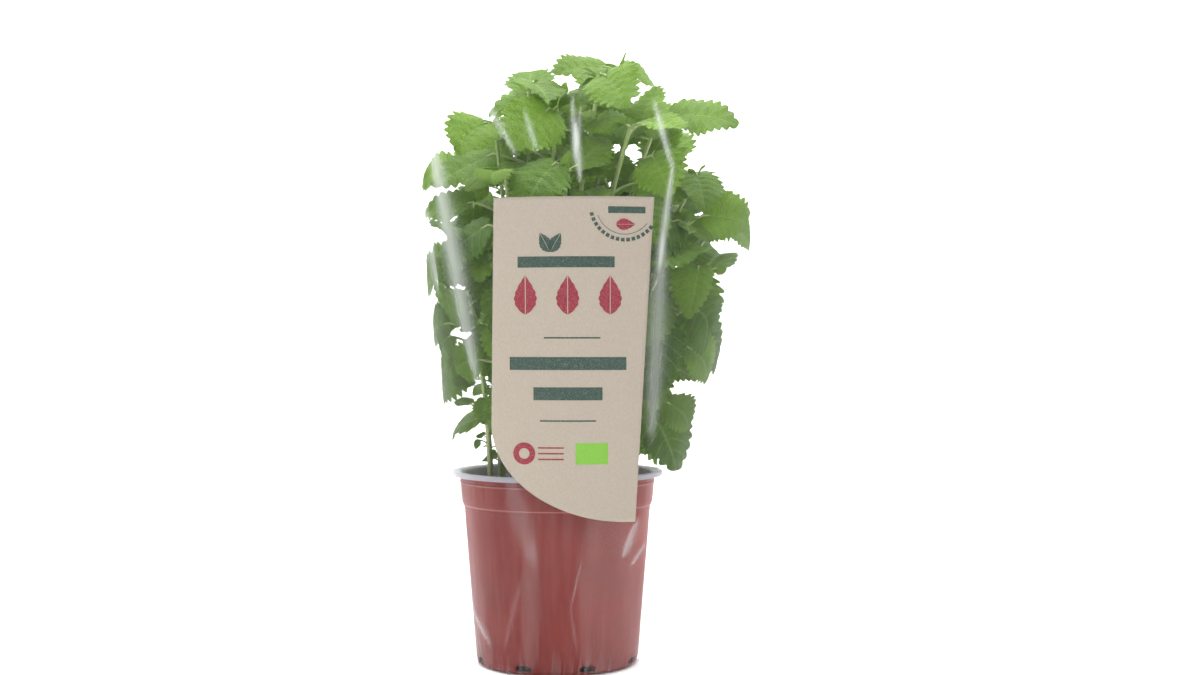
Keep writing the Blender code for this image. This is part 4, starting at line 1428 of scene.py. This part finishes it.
class Streak:
    """A long crease in the film with painted glare along it: X and height of its ends, and its half width.
    """

    def __init__(self, low, high, half, veil, depth, crisp=2, ends=1.0):
        self.low, self.high = low, high
        self.half, self.veil, self.depth = half, veil, depth
        self.crisp, self.ends = crisp, ends

    def share(self, x, height):
        """How strong the streak is at this place, from 0 to 1."""
        up = (height - self.low[1]) / (self.high[1] - self.low[1])
        if not 0 < up < 1:
            return 0.0
        taper = math.sin(math.pi * up) ** self.ends
        away = abs(x - self.low[0] - (self.high[0] - self.low[0]) * up)
        half = self.half * (0.25 + 0.75 * taper)
        return math.exp(-((away / half) ** self.crisp)) * min(1, 3 * taper)


def back_streaks():
    """A few seeded streaks for the film's back."""
    rng = random.Random(SEED + 5)
    streaks = []
    for _ in range(BACK_STREAKS):
        drawn = draw(rng, BACK_STREAK_SPANS)
        low, high, share = drawn["low"], drawn["high"], drawn["share"]
        low_x = film_centre(low).x + share * film_half_widths(low)[0]
        high_x = film_centre(high).x + (share + drawn["shift"]) * film_half_widths(high)[0]
        form = drawn["half"], drawn["veil"], drawn["depth"]
        streaks.append(Streak((low_x, low), (high_x, high), *form))
    return streaks


def ripple(angle, height, around, up):
    """Smooth noise on the sleeve, with this much detail round it and upwards."""
    return noise.noise(Vector((around * math.cos(angle), around * math.sin(angle), up * height)))


def film_vertex(height, angle, streaks):
    """A point of the film's fine surface, and how white it is there: painted glare on creases and crumples,
    whitened seams and haze.
    """
    plain = film_point(height, angle)
    veil, depth = 0.0, 0.0
    # Painted glare along the creases
    for streak in streaks:
        strength = streak.share(plain.x, height)
        veil += streak.veil * strength
        depth += streak.depth * strength
    wide, deep = film_half_widths(height)
    veil += SEAM_VEIL * math.exp(-((abs(math.sin(angle)) * deep / SEAM_HALF) ** 4))
    offset = sum(size * ripple(angle, height, around, up) for around, up, size in FILM_WAVES)
    gather = FILM_GATHER * math.exp(-height / FILM_GATHER_HEIGHT)
    crumple = ripple(angle, height, *FILM_CRUMPLE)
    offset += gather * crumple
    veil += FILM_HAZE + gather * FILM_GATHER_GLARE * max(0.0, crumple)
    slack = min(1, FILM_SLACK * height / FILM_TOP)
    reach = FILM_EASE + offset * slack + gather * crumple
    return film_point(height, angle, reach + depth / wide), min(veil, FILM_MOST_VEIL)


def make_film_piece(look):
    """The sleeve as a creased, very thin film, with more of its points in front."""
    front, back = [Streak(*streak) for streak in FRONT_STREAKS], back_streaks()
    points, tints = [], []
    for row in range(FINE_FILM_ROWS + 1):
        up = row / FINE_FILM_ROWS
        for k in range(FINE_FILM_SIDES):
            even = 2 * math.pi * k / FINE_FILM_SIDES
            angle = even - FILM_FRONT_SHARE * math.cos(even)
            edge = FILM_EDGE_WAVE * math.sin(2 * angle + 0.6) - FILM_EDGE_WAVE
            height = FILM_FOOT + (FILM_TOP - FILM_FOOT + edge) * up
            point, veil = film_vertex(height, angle, front if math.sin(angle) < 0 else back)
            points.append(point)
            tints.append((veil, veil, veil, 1.0))
    faces = grid_faces(FINE_FILM_ROWS + 1, FINE_FILM_SIDES, closed=True)
    film = add_piece("fine_sleeve", points, faces, [look], tints=tints)
    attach(film, "root")
    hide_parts("sleeve")


def label_place(across, up):
    """X and height of the label's point at these shares of its width and of its height there."""
    foot = LABEL_BOTTOM + LABEL_CORNER * (1 - math.sqrt(1 - (1 - across) ** 2))
    height = foot + (LABEL_TOP - foot) * up
    share = (height - LABEL_BOTTOM) / (LABEL_TOP - LABEL_BOTTOM)
    left = LABEL_LOW_LEFT + (LABEL_TOP_LEFT - LABEL_LOW_LEFT) * share
    right = LABEL_LOW_RIGHT + (LABEL_TOP_RIGHT - LABEL_LOW_RIGHT) * share
    return left + (right - left) * across, height


def on_label(x, height, lift):
    """The point this far above the label's back at this X and height."""
    stand_off = FILM_THICKNESS + GAP + LABEL_EASE + lift
    wide, deep = film_half_widths(height)
    across = (x - film_centre(height).x) / (wide + stand_off)
    wave = LABEL_RIPPLE * noise.noise(Vector((30 * x, 4.2, 22 * height)))
    return Vector((x, -(deep + stand_off) * math.sqrt(1 - across * across) - wave, height))


def make_label_piece(look):
    """The paper label."""
    points = []
    for row in range(FINE_LABEL_ROWS + 1):
        for column in range(FINE_LABEL_COLUMNS + 1):
            across = (column / FINE_LABEL_COLUMNS) ** LABEL_CROWDING
            points.append(on_label(*label_place(across, row / FINE_LABEL_ROWS), LABEL_THICKNESS))
    label = add_piece("fine_label", points, grid_faces(FINE_LABEL_ROWS + 1, FINE_LABEL_COLUMNS + 1), [look])
    paper = label.modifiers.new("paper", "SOLIDIFY")
    paper.thickness = LABEL_THICKNESS
    paper.offset = -1
    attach(label, "root")
    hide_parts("label")


def print_shape(name, patches, look):
    """Flat shapes on the label: each patch is rows of (x, height) points, fine enough to follow it."""
    points, faces = [], []
    for patch in patches:
        faces += grid_faces(len(patch), len(patch[0]), len(points), turned=True)
        for row in patch:
            points += [on_label(x, height, LABEL_THICKNESS + PRINT_LIFT) for x, height in row]
    made = add_piece(name, points, faces, [look])
    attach(made, "root")


def bar(left, right, low, high, steps=30):
    """A level bar, its ends measured from the print's middle."""
    spots = [PRINT_MIDDLE + left + (right - left) * k / steps for k in range(steps + 1)]
    return [[(x, z) for x in spots] for z in (low, high)]


def turned_spot(x, height, px, py, angle):
    """The point (px, py) turned by an angle about the place at this X and height."""
    return (
        x + px * math.cos(angle) - py * math.sin(angle),
        height + px * math.sin(angle) + py * math.cos(angle),
    )


def printed_leaf(x, height, length, angle, steps=24, columns=6):
    """A simple printed leaf with a pale rib left free."""
    patches = []
    for side in (1, -1):
        rows = []
        for k in range(steps + 1):
            s = k / steps
            half = 0.30 * length * math.sin(math.pi * s**0.75)
            half *= 1 - 0.10 * (1 - abs(math.sin(math.pi * 6 * s)))
            rib = min(half, PRINTED_RIB * length)
            offsets = [side * max(half * j / columns, rib) for j in range(columns + 1)]
            rows.append([turned_spot(x, height, s * length, py, angle) for py in offsets])
        patches.append(rows)
    return patches


def ring_patch(x, height, inner, outer, start=0, end=360, rings=4, steps=40):
    """A flat ring, or a part of one between two angles in degrees."""
    rows = []
    for k in range(rings + 1):
        radius = inner + (outer - inner) * k / rings
        angles = [math.radians(start + (end - start) * j / steps) for j in range(steps + 1)]
        rows.append([(x + radius * math.cos(angle), height + radius * math.sin(angle)) for angle in angles])
    return rows


def make_print(green, crimson, fresh):
    """Plain bars, leaves and rings in the photograph's balance of green and crimson."""
    middle = PRINT_MIDDLE
    ring_x, ring_z = RING_MIDDLE
    dark = [bar(*ends) for ends in GREEN_BARS]
    for side in (60, 118):
        dark += printed_leaf(middle - 0.0080, 0.2005, 0.0100, math.radians(side))
    dark += [ring_patch(ring_x, ring_z, 0.0128, 0.0131, 200, 322)]
    dark += [ring_patch(ring_x, ring_z, 0.0146, 0.0163, 192 + 9 * k, 198 + 9 * k) for k in range(15)]
    beside = ring_x - middle
    dark.append(bar(beside - 0.0075, beside + 0.0095, ring_z - 0.0035, ring_z - 0.0005))
    print_shape("print_green", dark, green)
    red = []
    for k in (-1, 0, 1):
        red += printed_leaf(middle + 0.0195 * k, 0.1720, 0.0180, math.radians(90))
    red += printed_leaf(ring_x - 0.0040, ring_z - 0.0085, 0.0090, 0.0)
    red.append(ring_patch(middle - 0.0205, 0.1075, 0.0025, 0.0052))
    red += [bar(*ends) for ends in CRIMSON_BARS]
    print_shape("print_crimson", red, crimson)
    print_shape("print_patch", [bar(*FRESH_PATCH)], fresh)


def make_paper():
    """White paper that curves up behind the object."""
    line = [(PAPER_FRONT, 0.0), (PAPER_BEND_START, 0.0)]
    line += arc((PAPER_BEND_START, PAPER_BEND), PAPER_BEND, -80, 0, 8)
    line += [(PAPER_BEND_START + PAPER_BEND, PAPER_TOP)]
    points = [(x, y, z) for y, z in line for x in (-PAPER_HALF_WIDTH, PAPER_HALF_WIDTH)]
    add_piece("studio_floor", points, grid_faces(len(line), 2), [stage_material()])


def make_light(name, place, target, size, power):
    """A square soft light that faces the target."""
    lamp = bpy.data.lights.new(name, "AREA")
    lamp.shape = "SQUARE"
    lamp.size = size
    lamp.energy = power
    made = bpy.data.objects.new(name, lamp)
    made.location = place
    made.rotation_euler = (Vector(target) - Vector(place)).to_track_quat("-Z", "Y").to_euler()
    bpy.context.scene.collection.objects.link(made)


def make_stage():
    """The paper, soft even light and the camera."""
    make_paper()
    world = bpy.data.worlds.new("studio")
    world.use_nodes = True
    background = world.node_tree.nodes["Background"]
    background.inputs["Color"].default_value = WHITE
    background.inputs["Strength"].default_value = WORLD_LIGHT
    bpy.context.scene.world = world
    for light in LIGHTS:
        make_light(*light)
    camera = bpy.data.cameras.new("camera")
    camera.lens = CAMERA_LENS
    camera.sensor_width = CAMERA_SENSOR
    camera.clip_start = CAMERA_NEAR
    seat = bpy.data.objects.new("camera", camera)
    seat.location = CAMERA_PLACE
    seat.rotation_euler = (math.pi / 2, 0, 0)
    bpy.context.scene.collection.objects.link(seat)
    bpy.context.scene.camera = seat
    bpy.context.scene.view_settings.view_transform = "Standard"


def main():
    """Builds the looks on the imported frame."""
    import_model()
    make_stage()
    plant = Plant()
    plant.grow_pairs()
    plant.grow_crown()
    plant.grow_small()
    looks = [leaf_material(), stem_material()]
    for stem in plant.stems:
        make_leafy_stem(stem, looks)
    outside = pot_material("terracotta_plastic", TERRACOTTA, 0.52)
    inside = pot_material("lavender_plastic", LAVENDER, 0.46)
    make_pot_piece(outside, inside)
    peat = soil_material()
    make_soil_piece(peat)
    make_foot_crumbs(peat)
    make_film_piece(film_material())
    make_label_piece(paper_material())
    make_print(
        ink_material("green_ink", INK_GREEN),
        ink_material("crimson_ink", INK_CRIMSON),
        ink_material("fresh_green_ink", INK_FRESH),
    )


main()
